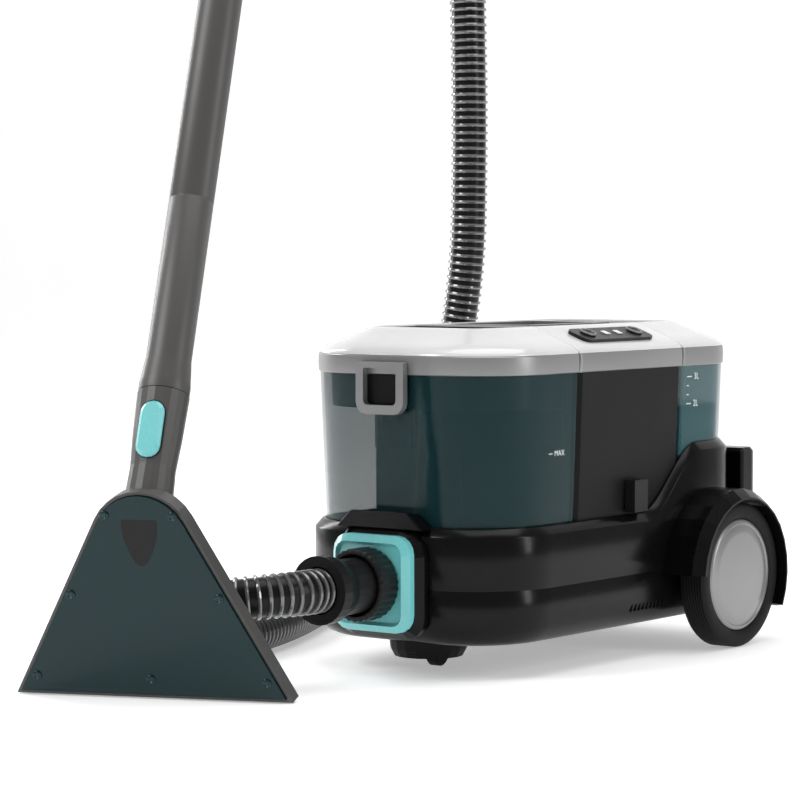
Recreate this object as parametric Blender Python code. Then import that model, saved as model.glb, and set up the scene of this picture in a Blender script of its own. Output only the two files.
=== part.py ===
"""Carpet cleaner: a wheeled machine with two lift-out tanks, a ribbed hose and a floor wand.

Metres, +Z up. The machine's nose, with the hose port, points along -Y. The floor is z = 0.
Run with: blender --background --python part.py
"""

import math

import bmesh
import bpy
from mathutils import Matrix, Vector

# ---- places in the row frame -------------------------------------------------------------
MACHINE_X, MACHINE_Y = 0.07880, 0.12253  # centre of the machine on the floor
GAP = 0.0003  # between pieces that touch
SLIDE_GAP = 0.0015  # round a piece that slides or turns in a hole

# ---- body outline, seen from above -------------------------------------------------------
BODY_WIDTH = 0.260
BODY_LENGTH = 0.460
NOSE_RADIUS = 0.087
TAIL_RADIUS = 0.072
SEAM_FRONT = -0.088  # between the dirty tank and the column
SEAM_REAR = 0.101  # between the column and the clean tank
SEAM_GAP = 0.0006
SEAM_RADIUS = 0.006
ARC_STEPS = 5

# ---- base --------------------------------------------------------------------------------
BASE_OVERHANG = 0.004  # the base is this much wider than the lid, each side
BASE_BOTTOM = 0.030
TRAY_TOP = 0.086
DECK_TOP = 0.096
RIM_FRONT = 0.146
RIM_REAR = 0.213
RIM_RISE_START, RIM_RISE_END = 0.028, 0.132  # y where the rim starts and ends its climb
RIM_CHAMFER = 0.008
BASE_WALL = 0.004
WELL_GAP = 0.0008  # round the tanks, in the well that they stand in

# ---- tanks and column --------------------------------------------------------------------
BAND_BOTTOM = 0.2925
BAND_TOP = 0.311
TANK_WALL = 0.003
TANK_TOP_INSET = 0.0015
TANK_FOOT_INSET = 0.009
CLEAN_TANK_BOTTOM = 0.196
DOME_TOP = 0.337
DOME_SLOPE_LOW, DOME_SLOPE_HIGH = 0.008, 0.044  # insets of the lid's sloping shoulder
DOME_SLOPE_Z_LOW, DOME_SLOPE_Z_HIGH = 0.3185, 0.3325
RECESS_INSET = 0.058
RECESS_DEPTH = 0.012
RECESS_LIP = 0.0015  # between the recess and a seam
TRIM_WALL = 0.006

HOUSING_WIDTH = 0.240  # the cord's housing on the tail
HOUSING_DEPTH = 0.030
HOUSING_BOTTOM, HOUSING_TOP = 0.100, 0.200

# ---- wheels ------------------------------------------------------------------------------
WHEEL_RADIUS = 0.075
WHEEL_WIDTH = 0.030
WHEEL_Y = 0.151
WHEEL_CLEARANCE = 0.010  # from the body to the wheel
WHEEL_INNER_X = BODY_WIDTH / 2 + WHEEL_CLEARANCE
TYRE_HEIGHT = 0.0175
HUB_RADIUS = WHEEL_RADIUS - TYRE_HEIGHT
CAP_THICKNESS = 0.004
AXLE_RADIUS = 0.004
PUMP_RADIUS = 0.022
FENDER_GAP = 0.004
FENDER_THICKNESS = 0.015
FENDER_THICKNESS_REAR = 0.005
FENDER_FROM, FENDER_TO = -28.0, 176.0  # degrees round the axle, from the rear upwards
CASTER_Y = -0.163
CASTER_RADIUS = 0.012
CASTER_WIDTH = 0.014
CASTER_TRAIL = 0.014
CASTER_PIN_RADIUS = 0.0015

# ---- hose port ---------------------------------------------------------------------------
PORT_Z = 0.092
PORT_SIDE = 0.094
PORT_BLOCK_SIDE = 0.106
PORT_BLOCK_DEPTH = 0.014
PORT_PLATE_DEPTH = 0.012
PORT_CORNER = 0.018
HOSE_RADIUS = 0.0215
CUFF_RADIUS = 0.027
CUFF_WALL = 0.004
CUFF_LENGTH = 0.0762
RING_RADIUS = 0.0355
RING_LENGTH = 0.026

# ---- handle, latch, controls -------------------------------------------------------------
BAIL_HALF_WIDTH = 0.052
BAIL_PIVOT_Y = 0.078
BAIL_GRIP_Y = -0.070
BAIL_BAR = 0.011
BAIL_HEIGHT = 0.009
BAIL_LIFT = 0.003  # above the recess floor, so that its rear ends clear it as it turns
LATCH_X = -0.003
LATCH_WIDTH = 0.058
LATCH_HEIGHT = 0.051
LATCH_BAR = 0.009
LATCH_DEPTH = 0.007
LATCH_GAP = 0.0013  # room for its upper edge to turn
CATCH_Y = 0.000
CATCH_LENGTH = 0.024
CATCH_HEIGHT = 0.032
PANEL_Y = 0.004
PANEL_LENGTH = 0.124
PANEL_WIDTH = 0.028
PANEL_THICKNESS = 0.0035
BUTTON_SPREAD = 0.084
BUTTON_RADIUS = 0.008
BUTTON_TRAVEL = 0.0015

# ---- floor tool and wand -----------------------------------------------------------------
TOOL_X, TOOL_Y = -0.080, -0.482  # middle of the tool's lip, from the machine's centre
TOOL_YAW = 22.3  # degrees
TOOL_LEAN = 11.5  # degrees forward of upright
WAND_LEAN = 24.5  # degrees back from upright
TOOL_WIDTH = 0.270
TOOL_HEIGHT = 0.198
TOOL_TOP_RADIUS = 0.050
TOOL_DEPTH = 0.032
TOOL_WALL = 0.003
WINDOW_THICKNESS = 0.003
WINDOW_INSET = 0.0035
NECK_UP, NECK_BACK = TOOL_HEIGHT - 0.016, 0.030  # where the wand's axis meets the tool
NECK_LENGTH = 0.104
NECK_HALF_WIDTH, NECK_HALF_DEPTH = 0.0232, 0.0225
TUBE_HALF_WIDTH, TUBE_HALF_DEPTH = 0.0215, 0.021
TUBE_WALL = 0.002
TUBE_TOP = 0.860
GRIP_BEND_RADIUS = 0.070
GRIP_LENGTH = 0.115
GRIP_RADIUS = 0.019
SCREW_HEAD_RADIUS = 0.0042
SCREW_SHANK_RADIUS = 0.0016

# ---- hose: points that its smooth line passes through, from the machine's centre ---------
HOSE_ROUTE = (
    (0.000, -0.3372, 0.092),
    (-0.002, -0.368, 0.092),
    (-0.024, -0.406, 0.090),
    (-0.066, -0.429, 0.084),
    (-0.113, -0.426, 0.073),
    (-0.150, -0.398, 0.058),
    (-0.172, -0.356, 0.042),
    (-0.183, -0.295, 0.028),
    (-0.196, -0.220, 0.0222),
    (-0.216, -0.145, 0.0222),
    (-0.246, -0.070, 0.0222),
    (-0.282, 0.005, 0.0222),
    (-0.316, 0.080, 0.0226),
    (-0.340, 0.150, 0.034),
    (-0.345, 0.212, 0.072),
    (-0.334, 0.255, 0.135),
    (-0.314, 0.277, 0.215),
    (-0.296, 0.284, 0.300),
    (-0.281, 0.286, 0.400),
    (-0.277, 0.286, 0.520),
    (-0.277, 0.285, 0.640),
    (-0.281, 0.285, 0.750),
    (-0.290, 0.283, 0.838),
    (-0.309, 0.269, 0.922),
    (-0.327, 0.233, 0.990),
    (-0.333, 0.176, 1.030),
    (-0.3225, 0.1095, 1.0443),
    (-0.3098, 0.0784, 1.0443),
)
HOSE_STEPS = 3  # straight pieces between two of those points


# ---- small tools -------------------------------------------------------------------------
def clear_scene():
    for obj in list(bpy.data.objects):
        bpy.data.objects.remove(obj, do_unlink=True)


def material(name, colour, roughness, metallic=0.0, alpha=1.0):
    made = bpy.data.materials.get(name) or bpy.data.materials.new(name)
    made.use_nodes = True
    shader = made.node_tree.nodes["Principled BSDF"]
    shader.inputs["Base Color"].default_value = (*colour, 1.0)
    shader.inputs["Roughness"].default_value = roughness
    shader.inputs["Metallic"].default_value = metallic
    shader.inputs["Alpha"].default_value = alpha
    return made


def empty(name, matrix, parent=None):
    made = bpy.data.objects.new(name, None)
    bpy.context.scene.collection.objects.link(made)
    made.parent = parent
    made.matrix_basis = matrix
    return made


def add(name, bm, finish, frame, pivot=None, smooth=True):
    """A named object from a bmesh drawn in frame's space; pivot is an empty under frame."""
    bmesh.ops.recalc_face_normals(bm, faces=bm.faces)
    mesh = bpy.data.meshes.new(name)
    bm.to_mesh(mesh)
    bm.free()
    made = bpy.data.objects.new(name, mesh)
    bpy.context.scene.collection.objects.link(made)
    made.parent = pivot or frame
    if pivot:
        mesh.transform(pivot.matrix_basis.inverted())
    mesh.materials.append(finish)
    if smooth:
        mesh.shade_smooth()
        mesh.set_sharp_from_angle(angle=math.radians(35))
    return made


def cutter(name, bm, frame):
    made = add(name, bm, material("cutter", (1, 0, 0), 1), frame, smooth=False)
    made.hide_render = True
    made.display_type = "WIRE"
    return made


def boolean(target, tool, operation="DIFFERENCE"):
    step = target.modifiers.new(tool.name, "BOOLEAN")
    step.operation = operation
    step.object = tool
    step.solver = "EXACT"


def stack(rings, loop=False):
    """A closed skin over rings of equal count; loop joins the last ring to the first."""
    bm = bmesh.new()
    rows = [[bm.verts.new(p) for p in ring] for ring in rings]
    count = len(rows[0])
    pairs = list(zip(rows, rows[1:], strict=False)) + ([(rows[-1], rows[0])] if loop else [])
    for low, high in pairs:
        for i in range(count):
            j = (i + 1) % count
            bm.faces.new((low[i], low[j], high[j], high[i]))
    if not loop:
        bm.faces.new(rows[0][::-1])
        bm.faces.new(rows[-1])
    return bm


def circle(radius, steps, centre=(0, 0), squash=1.0):
    turn = 2 * math.pi / steps
    return [
        (centre[0] + radius * math.cos(turn * i), centre[1] + squash * radius * math.sin(turn * i))
        for i in range(steps)
    ]


def lift(outline, z):
    return [(x, y, z(y) if callable(z) else z) for x, y in outline]


def along_y(outline, y):
    """An outline drawn in x and z, stood up at y."""
    return [(x, y, z) for x, z in outline]


def along_x(outline, x):
    return [(x, y, z) for y, z in outline]


def rounded(low, high, radii, steps=(ARC_STEPS, ARC_STEPS)):
    """A rounded rectangle; radii and steps are each for the low-y and the high-y corners."""
    points = []
    (x0, y0), (x1, y1) = low, high
    corners = (
        (x1, y0, -1, 1, radii[0], steps[0], -90),
        (x1, y1, -1, -1, radii[1], steps[1], 0),
        (x0, y1, 1, -1, radii[1], steps[1], 90),
        (x0, y0, 1, 1, radii[0], steps[0], 180),
    )
    for x, y, sx, sy, r, count, start in corners:
        for i in range(count + 1):
            a = math.radians(start + 90 * i / count)
            points.append((x + sx * r + r * math.cos(a), y + sy * r + r * math.sin(a)))
    return points


def tube(outer, inner, low, high, stand=lift):
    return stack([stand(outer, low), stand(outer, high), stand(inner, high), stand(inner, low)], True)


def rod(radius, steps, low, high, centre=(0, 0), stand=lift):
    ring = circle(radius, steps, centre)
    return stack([stand(ring, low), stand(ring, high)])


def block(low, high):
    (x0, y0, z0), (x1, y1, z1) = low, high
    ring = [(x0, y0), (x1, y0), (x1, y1), (x0, y1)]
    return stack([lift(ring, z0), lift(ring, z1)])


def offset_convex(points, distance):
    """A convex outline moved inwards by distance, edge by edge."""
    count = len(points)
    edges = []
    for i in range(count):
        a, b = Vector(points[i]), Vector(points[(i + 1) % count])
        d = (b - a).normalized()
        edges.append((a + distance * Vector((-d.y, d.x)), d))
    moved = []
    for i in range(count):
        (p, d), (q, e) = edges[i - 1], edges[i]
        cross = d.x * e.y - d.y * e.x
        t = ((q.x - p.x) * e.y - (q.y - p.y) * e.x) / cross
        moved.append(tuple(p + d * t))
    return moved


def smooth_line(points, steps):
    """Points on a centripetal Catmull-Rom curve through points."""
    p = [Vector(q) for q in points]
    p = [p[0] * 2 - p[1], *p, p[-1] * 2 - p[-2]]
    line = []
    for a, b, c, d in zip(p, p[1:], p[2:], p[3:], strict=False):
        t1 = (b - a).length ** 0.5
        t2 = t1 + (c - b).length ** 0.5
        t3 = t2 + (d - c).length ** 0.5
        for i in range(steps):
            t = t1 + (t2 - t1) * i / steps
            u = a * (t1 - t) / t1 + b * t / t1
            v = b * (t2 - t) / (t2 - t1) + c * (t - t1) / (t2 - t1)
            w = c * (t3 - t) / (t3 - t2) + d * (t - t2) / (t3 - t2)
            k = u * (t2 - t) / t2 + v * t / t2
            m = v * (t3 - t) / (t3 - t1) + w * (t - t1) / (t3 - t1)
            line.append(k * (t2 - t) / (t2 - t1) + m * (t - t1) / (t2 - t1))
    return [*line, p[-2]]


# ---- outlines of the machine -------------------------------------------------------------
def half_width(inset=0.0):
    return BODY_WIDTH / 2 - inset


def whole_outline(inset):
    """The body's full outline, with extra points along its sides for the rising rim."""
    hx, hy = half_width(inset), BODY_LENGTH / 2 - inset
    nose, tail = max(NOSE_RADIUS - inset, 0.006), max(TAIL_RADIUS - inset, 0.006)
    ring = rounded((-hx, -hy), (hx, hy), (nose, tail))
    span = RIM_RISE_END - RIM_RISE_START
    climb = [RIM_RISE_START + span * i / 4 for i in range(5)]
    cut = ARC_STEPS + 1
    right = [(hx, y) for y in climb]
    left = [(-hx, y) for y in reversed(climb)]
    return ring[:cut] + right + ring[cut : 3 * cut] + left + ring[3 * cut :]


def front_outline(inset, seam=SEAM_FRONT):
    hx = half_width(inset)
    radii = (NOSE_RADIUS - inset, SEAM_RADIUS)
    return rounded((-hx, -BODY_LENGTH / 2 + inset), (hx, seam - SEAM_GAP), radii, (ARC_STEPS, 1))


def middle_outline(inset, low=SEAM_FRONT, high=SEAM_REAR):
    hx = half_width(inset)
    return rounded((-hx, low + SEAM_GAP), (hx, high - SEAM_GAP), (SEAM_RADIUS, SEAM_RADIUS), (1, 1))


def rear_outline(inset, seam=SEAM_REAR):
    hx = half_width(inset)
    radii = (SEAM_RADIUS, TAIL_RADIUS - inset)
    return rounded((-hx, seam + SEAM_GAP), (hx, BODY_LENGTH / 2 - inset), radii, (1, ARC_STEPS))


def tank_inset(z):
    """How far the tanks and the column stand in from the outline at this height."""
    share = (BAND_BOTTOM - z) / (BAND_BOTTOM - DECK_TOP)
    return TANK_TOP_INSET + (TANK_FOOT_INSET - TANK_TOP_INSET) * share


def rim_height(y):
    t = min(max((y - RIM_RISE_START) / (RIM_RISE_END - RIM_RISE_START), 0.0), 1.0)
    return RIM_FRONT + (RIM_REAR - RIM_FRONT) * t * t * (3 - 2 * t)


# ---- base --------------------------------------------------------------------------------
def base_tray(frame, finish):
    over = -BASE_OVERHANG
    skin = ((0.032, BASE_BOTTOM), (0.013, 0.035), (0.002, 0.049), (0.0, TRAY_TOP))
    wall = ((BASE_WALL, TRAY_TOP), (0.002 + BASE_WALL, 0.052), (0.014 + BASE_WALL, 0.039))
    wall += ((0.032 + BASE_WALL, BASE_BOTTOM + BASE_WALL),)
    rings = [lift(whole_outline(over + i), z) for i, z in skin + wall]
    made = add("base_tray", stack(rings), finish, frame)
    hole = rod(AXLE_RADIUS + GAP, 12, -BODY_WIDTH, BODY_WIDTH, (WHEEL_Y, WHEEL_RADIUS), along_x)
    boolean(made, cutter("axle_hole", hole, frame))
    return made


def well_edge():
    """The inner edge of the rim, which follows the tanks' taper as it climbs."""
    edge = []
    for i, (_, y) in enumerate(whole_outline(0.0)):
        z = rim_height(y)
        edge.append((*whole_outline(tank_inset(z) - WELL_GAP)[i], z))
    return edge


def base_shell(frame, finish):
    over = -BASE_OVERHANG
    low = TRAY_TOP + GAP
    rings = [lift(whole_outline(over), low)]
    rings.append(lift(whole_outline(over), lambda y: rim_height(y) - RIM_CHAMFER))
    rings.append(lift(whole_outline(over + RIM_CHAMFER), rim_height))
    rings.append(well_edge())
    rings.append(lift(whole_outline(tank_inset(DECK_TOP) - WELL_GAP), DECK_TOP))
    return add("base_shell", stack(rings), finish, frame)


def fender(side, frame, finish):
    """A chamfered arch over a wheel, round the axle."""
    inner = WHEEL_RADIUS + FENDER_GAP
    x0 = BODY_WIDTH / 2 + BASE_OVERHANG + GAP
    x1 = WHEEL_INNER_X + WHEEL_WIDTH + 0.008
    chamfer = 0.010
    steps = 17
    rings = []
    for i in range(steps):
        share = i / (steps - 1)
        a = math.radians(FENDER_FROM + (FENDER_TO - FENDER_FROM) * share)
        outer = inner + FENDER_THICKNESS_REAR + (FENDER_THICKNESS - FENDER_THICKNESS_REAR) * share
        edge = max(outer - chamfer, inner + 0.002)
        ring = []
        for x, r in ((x0, inner), (x1, inner), (x1, edge), (x1 - chamfer, outer), (x0, outer)):
            ring.append((side * x, WHEEL_Y + r * math.cos(a), WHEEL_RADIUS + r * math.sin(a)))
        rings.append(ring)
    name = "fender_right" if side > 0 else "fender_left"
    return add(name, stack(rings), finish, frame)


def rear_housing(frame, finish):
    y0 = BODY_LENGTH / 2 + BASE_OVERHANG + GAP
    w, d = HOUSING_WIDTH / 2, HOUSING_DEPTH
    ring = rounded((-w, y0), (w, y0 + d), (0.004, 0.010), (3, 3))
    small = offset_convex(ring, 0.003)
    small = [(x, max(y, y0)) for x, y in small]
    rings = [lift(small, HOUSING_BOTTOM), lift(ring, HOUSING_BOTTOM + 0.004)]
    rings += [lift(ring, HOUSING_TOP - 0.004), lift(small, HOUSING_TOP)]
    add("rear_housing", stack(rings), finish, frame)
    rings = [along_y(circle(r, 12, (-0.060, 0.120)), y) for r, y in ((0.0075, 0.0), (0.005, 0.022))]
    rings = [[(x, y + y0 + d + GAP, z) for x, y, z in ring] for ring in rings]
    return add("cord_gland", stack(rings), finish, frame)


def port_block(frame, finish):
    """The block that stands out of the nose and carries the hose port."""
    y1 = -BODY_LENGTH / 2 - BASE_OVERHANG - GAP
    h = PORT_BLOCK_SIDE / 2
    ring = rounded((-h, PORT_Z - h), (h, PORT_Z + h), (0.020, 0.026), (3, 3))
    front = offset_convex(ring, 0.006)
    rings = [along_y(front, y1 - PORT_BLOCK_DEPTH), along_y(ring, y1 - 0.006), along_y(ring, y1)]
    made = add("port_block", stack(rings), finish, frame)
    bore = rod(CUFF_RADIUS + SLIDE_GAP, 24, y1 - 0.05, y1 + 0.05, (0, PORT_Z), along_y)
    boolean(made, cutter("port_bore", bore, frame))
    return made


def port_front():
    return -BODY_LENGTH / 2 - BASE_OVERHANG - GAP - PORT_BLOCK_DEPTH - GAP


def port_pieces(frame, finishes):
    """The coloured plate, the ribbed lock ring that turns on it, and the hose's swivel cuff."""
    y = port_front()
    h = PORT_SIDE / 2
    outer = rounded((-h, PORT_Z - h), (h, PORT_Z + h), (PORT_CORNER, PORT_CORNER), (4, 4))
    rim = offset_convex(outer, 0.007)
    floor = offset_convex(outer, 0.010)
    front = y - PORT_PLATE_DEPTH
    rings = [along_y(floor, front + 0.004), along_y(rim, front)]
    rings += [along_y(outer, front + 0.006), along_y(outer, y)]
    plate = add("port_plate", stack(rings), finishes["turquoise"], frame)
    bore = rod(CUFF_RADIUS + SLIDE_GAP, 24, front - 0.05, y + 0.05, (0, PORT_Z), along_y)
    boolean(plate, cutter("plate_bore", bore, frame))
    y_ring = front + 0.004 - GAP
    pivot = empty("lock_ring_axis", Matrix.Translation((0, y_ring, PORT_Z)), frame)
    outline = circle(RING_RADIUS, 24, (0, PORT_Z))
    small = circle(RING_RADIUS - 0.004, 24, (0, PORT_Z))
    inner = circle(CUFF_RADIUS + SLIDE_GAP, 24, (0, PORT_Z))
    rings = [along_y(outline, y_ring), along_y(outline, y_ring - 0.019)]
    rings += [along_y(small, y_ring - RING_LENGTH), along_y(inner, y_ring - RING_LENGTH)]
    rings.append(along_y(inner, y_ring))
    add("lock_ring", stack(rings, True), finishes["black"], frame, pivot)
    end = front - CUFF_LENGTH
    pivot = empty("hose_cuff_axis", Matrix.Translation((0, end, PORT_Z)), frame)
    profile = ((CUFF_RADIUS, y), (CUFF_RADIUS, end + 0.030), (CUFF_RADIUS + 0.006, end + 0.012))
    profile += ((CUFF_RADIUS + 0.006, end), (CUFF_RADIUS - CUFF_WALL, end))
    profile += ((CUFF_RADIUS - CUFF_WALL, y),)
    rings = [along_y(circle(r, 24, (0, PORT_Z)), at) for r, at in profile]
    add("hose_cuff", stack(rings, True), finishes["black"], frame, pivot)


# ---- wheels and caster -------------------------------------------------------------------
def wheel(side, frame, finishes):
    name = "right" if side > 0 else "left"
    pivot = empty("wheel_axis_" + name, Matrix.Translation((0, WHEEL_Y, WHEEL_RADIUS)), frame)
    x0, x1 = WHEEL_INNER_X, WHEEL_INNER_X + WHEEL_WIDTH
    centre = (WHEEL_Y, WHEEL_RADIUS)
    steps = 36
    rim = HUB_RADIUS + GAP
    profile = ((rim, x0), (WHEEL_RADIUS - 0.006, x0), (WHEEL_RADIUS, x0 + 0.006))
    profile += ((WHEEL_RADIUS, x1 - 0.010), (WHEEL_RADIUS - 0.005, x1 - 0.003))
    profile += ((WHEEL_RADIUS - 0.011, x1), (rim, x1 - 0.002))
    rings = [along_x(circle(r, steps, centre), side * x) for r, x in profile]
    add("tyre_" + name, stack(rings, True), finishes["tyre"], frame, pivot)
    bore = AXLE_RADIUS + GAP
    face = x1 - 0.002 - CAP_THICKNESS - GAP
    profile = ((bore, x0), (HUB_RADIUS, x0), (HUB_RADIUS, face), (bore, face))
    rings = [along_x(circle(r, steps, centre), side * x) for r, x in profile]
    add("hub_" + name, stack(rings, True), finishes["black"], frame, pivot)
    profile = ((HUB_RADIUS, face + GAP), (HUB_RADIUS, x1 - 0.003), (HUB_RADIUS - 0.002, x1 - 0.002))
    profile += ((HUB_RADIUS * 0.5, x1 - 0.0005),)
    rings = [along_x(circle(r, steps, centre), side * x) for r, x in profile]
    add("wheel_cap_" + name, stack(rings), finishes["silver"], frame, pivot)


def axle(frame, finish):
    reach = WHEEL_INNER_X + WHEEL_WIDTH - 0.002 - CAP_THICKNESS - 2 * GAP
    bm = rod(AXLE_RADIUS, 12, -reach, reach, (WHEEL_Y, WHEEL_RADIUS), along_x)
    return add("rear_axle", bm, finish, frame)


def caster(frame, finishes):
    top = BASE_BOTTOM - GAP
    rings = []
    for radius, z in ((0.039, top), (0.038, 0.020), (0.034, 0.0125), (0.0295, 0.0125)):
        rings.append(lift(circle(radius, 20, (0, CASTER_Y)), z))
    rings.append(lift(circle(0.0295, 20, (0, CASTER_Y)), top - 0.003))
    add("caster_dome", stack(rings), finishes["black"], frame)
    swivel = empty("caster_swivel_axis", Matrix.Translation((0, CASTER_Y, 0)), frame)
    z1 = top - 0.003 - GAP
    half = CASTER_WIDTH / 2 + 0.001
    y = CASTER_Y + CASTER_TRAIL
    shape = ((-half - 0.003, 0.009), (-half, 0.009), (-half, 0.0243), (half, 0.0243))
    shape += ((half, 0.009), (half + 0.003, 0.009), (half + 0.003, z1), (-half - 0.003, z1))
    rings = [along_y(shape, y - 0.005), along_y(shape, y + 0.005)]
    fork = add("caster_fork", stack(rings), finishes["black"], frame, swivel, smooth=False)
    turn = (y, CASTER_RADIUS)
    pin = rod(CASTER_PIN_RADIUS, 8, -half - 0.002, half + 0.002, turn, along_x)
    boolean(fork, cutter("caster_pin_form", pin, frame), "UNION")
    at = Matrix.Translation((0, y, CASTER_RADIUS))
    spin = empty("caster_wheel_axis", at, frame)
    w = CASTER_WIDTH / 2
    bore = CASTER_PIN_RADIUS + GAP
    profile = ((bore, -w), (CASTER_RADIUS - 0.002, -w), (CASTER_RADIUS, 0.002 - w))
    profile += ((CASTER_RADIUS, w - 0.002), (CASTER_RADIUS - 0.002, w), (bore, w))
    rings = [along_x(circle(r, 20, turn), x) for r, x in profile]
    add("caster_wheel", stack(rings, True), finishes["tyre"], frame, spin)


# ---- tanks, column and lids --------------------------------------------------------------
def tank(name, outline, seam, floor, finish, frame):
    top = BAND_BOTTOM - GAP
    foot = tank_inset(floor)
    inwards = math.copysign(TANK_WALL, seam)
    rings = [lift(outline(foot + 0.006), floor), lift(outline(foot), floor + 0.006)]
    rings.append(lift(outline(TANK_TOP_INSET), top))
    rings.append(lift(outline(TANK_TOP_INSET + TANK_WALL, seam + inwards), top))
    rings.append(lift(outline(foot + TANK_WALL, seam + inwards), floor + 0.006))
    rings.append(lift(outline(foot + TANK_WALL + 0.006, seam + inwards), floor + TANK_WALL))
    return add(name, stack(rings), finish, frame)


def trim(name, outline, seam_wall, finish, frame):
    """The silver band under a lid: a frame with an open middle."""
    inner = outline(TRIM_WALL, seam_wall) if seam_wall is not None else outline(TRIM_WALL)
    return add(name, tube(outline(0.0), inner, BAND_BOTTOM, BAND_TOP), finish, frame)


DOME = (
    (0.0008, BAND_TOP + GAP),
    (0.003, 0.3145),
    (DOME_SLOPE_LOW, DOME_SLOPE_Z_LOW),
    (DOME_SLOPE_HIGH, DOME_SLOPE_Z_HIGH),
    (RECESS_INSET - 0.005, DOME_TOP),
)
RECESS = ((RECESS_INSET, DOME_TOP), (RECESS_INSET + 0.002, DOME_TOP - RECESS_DEPTH))


def dome(name, outline, lips, finish, frame):
    """A lid; lips are the places of its seams, as the outline takes them, where the recess ends."""
    rings = [lift(outline(inset), z) for inset, z in DOME]
    rings += [lift(outline(inset, *lips), z) for inset, z in RECESS]
    return add(name, stack(rings), finish, frame)


def middle_trim(frame, finish):
    low, high = SEAM_FRONT + TRIM_WALL, SEAM_REAR - TRIM_WALL
    inner = middle_outline(TRIM_WALL, low, high)
    bm = tube(middle_outline(0.0), inner, BAND_BOTTOM, BAND_TOP)
    return add("column_trim", bm, finish, frame)


def column(frame, finish):
    """The black housing between the tanks, open below."""
    low, high = DECK_TOP + GAP, BAND_BOTTOM - GAP
    wall = 0.004
    outer_low, outer_high = middle_outline(TANK_FOOT_INSET), middle_outline(TANK_TOP_INSET)
    a, b = SEAM_FRONT + wall, SEAM_REAR - wall
    inner_low = middle_outline(TANK_FOOT_INSET + wall, a, b)
    inner_high = middle_outline(TANK_TOP_INSET + wall, a, b)
    rings = [lift(inner_high, high - wall), lift(inner_low, low), lift(outer_low, low)]
    rings.append(lift(outer_high, high))
    return add("column", stack(rings), finish, frame)


def rear_stand(frame, finish):
    """The raised seat that the clean tank stands on, open below."""
    low, high = DECK_TOP + GAP, CLEAN_TANK_BOTTOM - GAP
    inset = TANK_FOOT_INSET + 0.002
    wall = 0.004
    outer, inner = rear_outline(inset), rear_outline(inset + wall, SEAM_REAR + wall)
    rings = [lift(inner, high - wall), lift(inner, low), lift(outer, low), lift(outer, high)]
    return add("rear_stand", stack(rings), finish, frame)


def dirty_tank(frame, finishes):
    pivot = empty("dirty_tank_slide", Matrix.Translation((0, SEAM_FRONT, DECK_TOP)), frame)
    pieces = [tank("dirty_tank", front_outline, SEAM_FRONT, DECK_TOP + GAP, finishes["teal"], frame)]
    pieces.append(trim("front_trim", front_outline, SEAM_FRONT - TRIM_WALL, finishes["silver"], frame))
    pieces.append(dome("tank_lid", front_outline, (SEAM_FRONT - RECESS_LIP,), finishes["white"], frame))
    pieces.append(inlet_duct(frame, finishes["black"]))
    pieces += float_valve(frame, finishes)
    for piece in pieces:
        piece.parent = pivot
        piece.data.transform(pivot.matrix_basis.inverted())


def inlet_duct(frame, finish):
    """The tapered riser that carries dirty water up from the port, inside the tank."""
    floor = DECK_TOP + GAP + TANK_WALL + GAP
    sections = ((0.020, 0.018, floor), (0.018, 0.016, 0.200), (0.012, 0.012, 0.262))
    outer = [lift(circle(a, 16, (0, -0.150), b / a), z) for a, b, z in sections]
    inner = [lift(circle(a - 0.002, 16, (0, -0.150), b / a), z) for a, b, z in sections]
    return add("inlet_duct", stack(outer + inner[::-1], True), finish, frame)


def float_valve(frame, finishes):
    centre = (-0.058, -0.142)
    top = BAND_TOP
    profile = ((0.020, top), (0.020, 0.215), (0.017, 0.215), (0.017, top))
    rings = [lift(circle(r, 16, centre), z) for r, z in profile]
    cage = add("float_cage", stack(rings, True), finishes["black"], frame)
    rings = [lift(circle(r, 12, centre), z) for r, z in ((0.010, 0.220), (0.014, 0.226))]
    rings += [lift(circle(r, 12, centre), z) for r, z in ((0.014, 0.246), (0.010, 0.252))]
    return [cage, add("float", stack(rings), finishes["white"], frame)]


def clean_tank(frame, finishes):
    at = (0, SEAM_REAR, CLEAN_TANK_BOTTOM)
    pivot = empty("clean_tank_slide", Matrix.Translation(at), frame)
    pieces = [tank("clean_tank", rear_outline, SEAM_REAR, CLEAN_TANK_BOTTOM, finishes["teal"], frame)]
    pieces.append(trim("rear_trim", rear_outline, SEAM_REAR + TRIM_WALL, finishes["silver"], frame))
    pieces.append(dome("clean_tank_lid", rear_outline, (SEAM_REAR + RECESS_LIP,), finishes["white"], frame))
    for piece in pieces:
        piece.parent = pivot
        piece.data.transform(pivot.matrix_basis.inverted())


# ---- inside the column -------------------------------------------------------------------
def inner_pieces(frame, finishes):
    z = DECK_TOP + GAP
    profile = ((0.052, z), (0.056, z + 0.010), (0.056, 0.170), (0.040, 0.182), (0.040, 0.222))
    profile += ((0.060, 0.226), (0.060, 0.250))
    rings = [lift(circle(r, 24, (0.0, 0.006)), h) for r, h in profile]
    add("suction_motor", stack(rings), finishes["steel"], frame)
    at = (0.150, z + PUMP_RADIUS)
    bm = rod(PUMP_RADIUS, 16, -0.056, 0.016, at, along_x)
    add("water_pump", bm, finishes["steel"], frame)
    bm = block((-0.050, -0.060, 0.250 + GAP), (0.050, 0.060, 0.252))
    add("circuit_board", bm, finishes["board"], frame, smooth=False)


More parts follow.
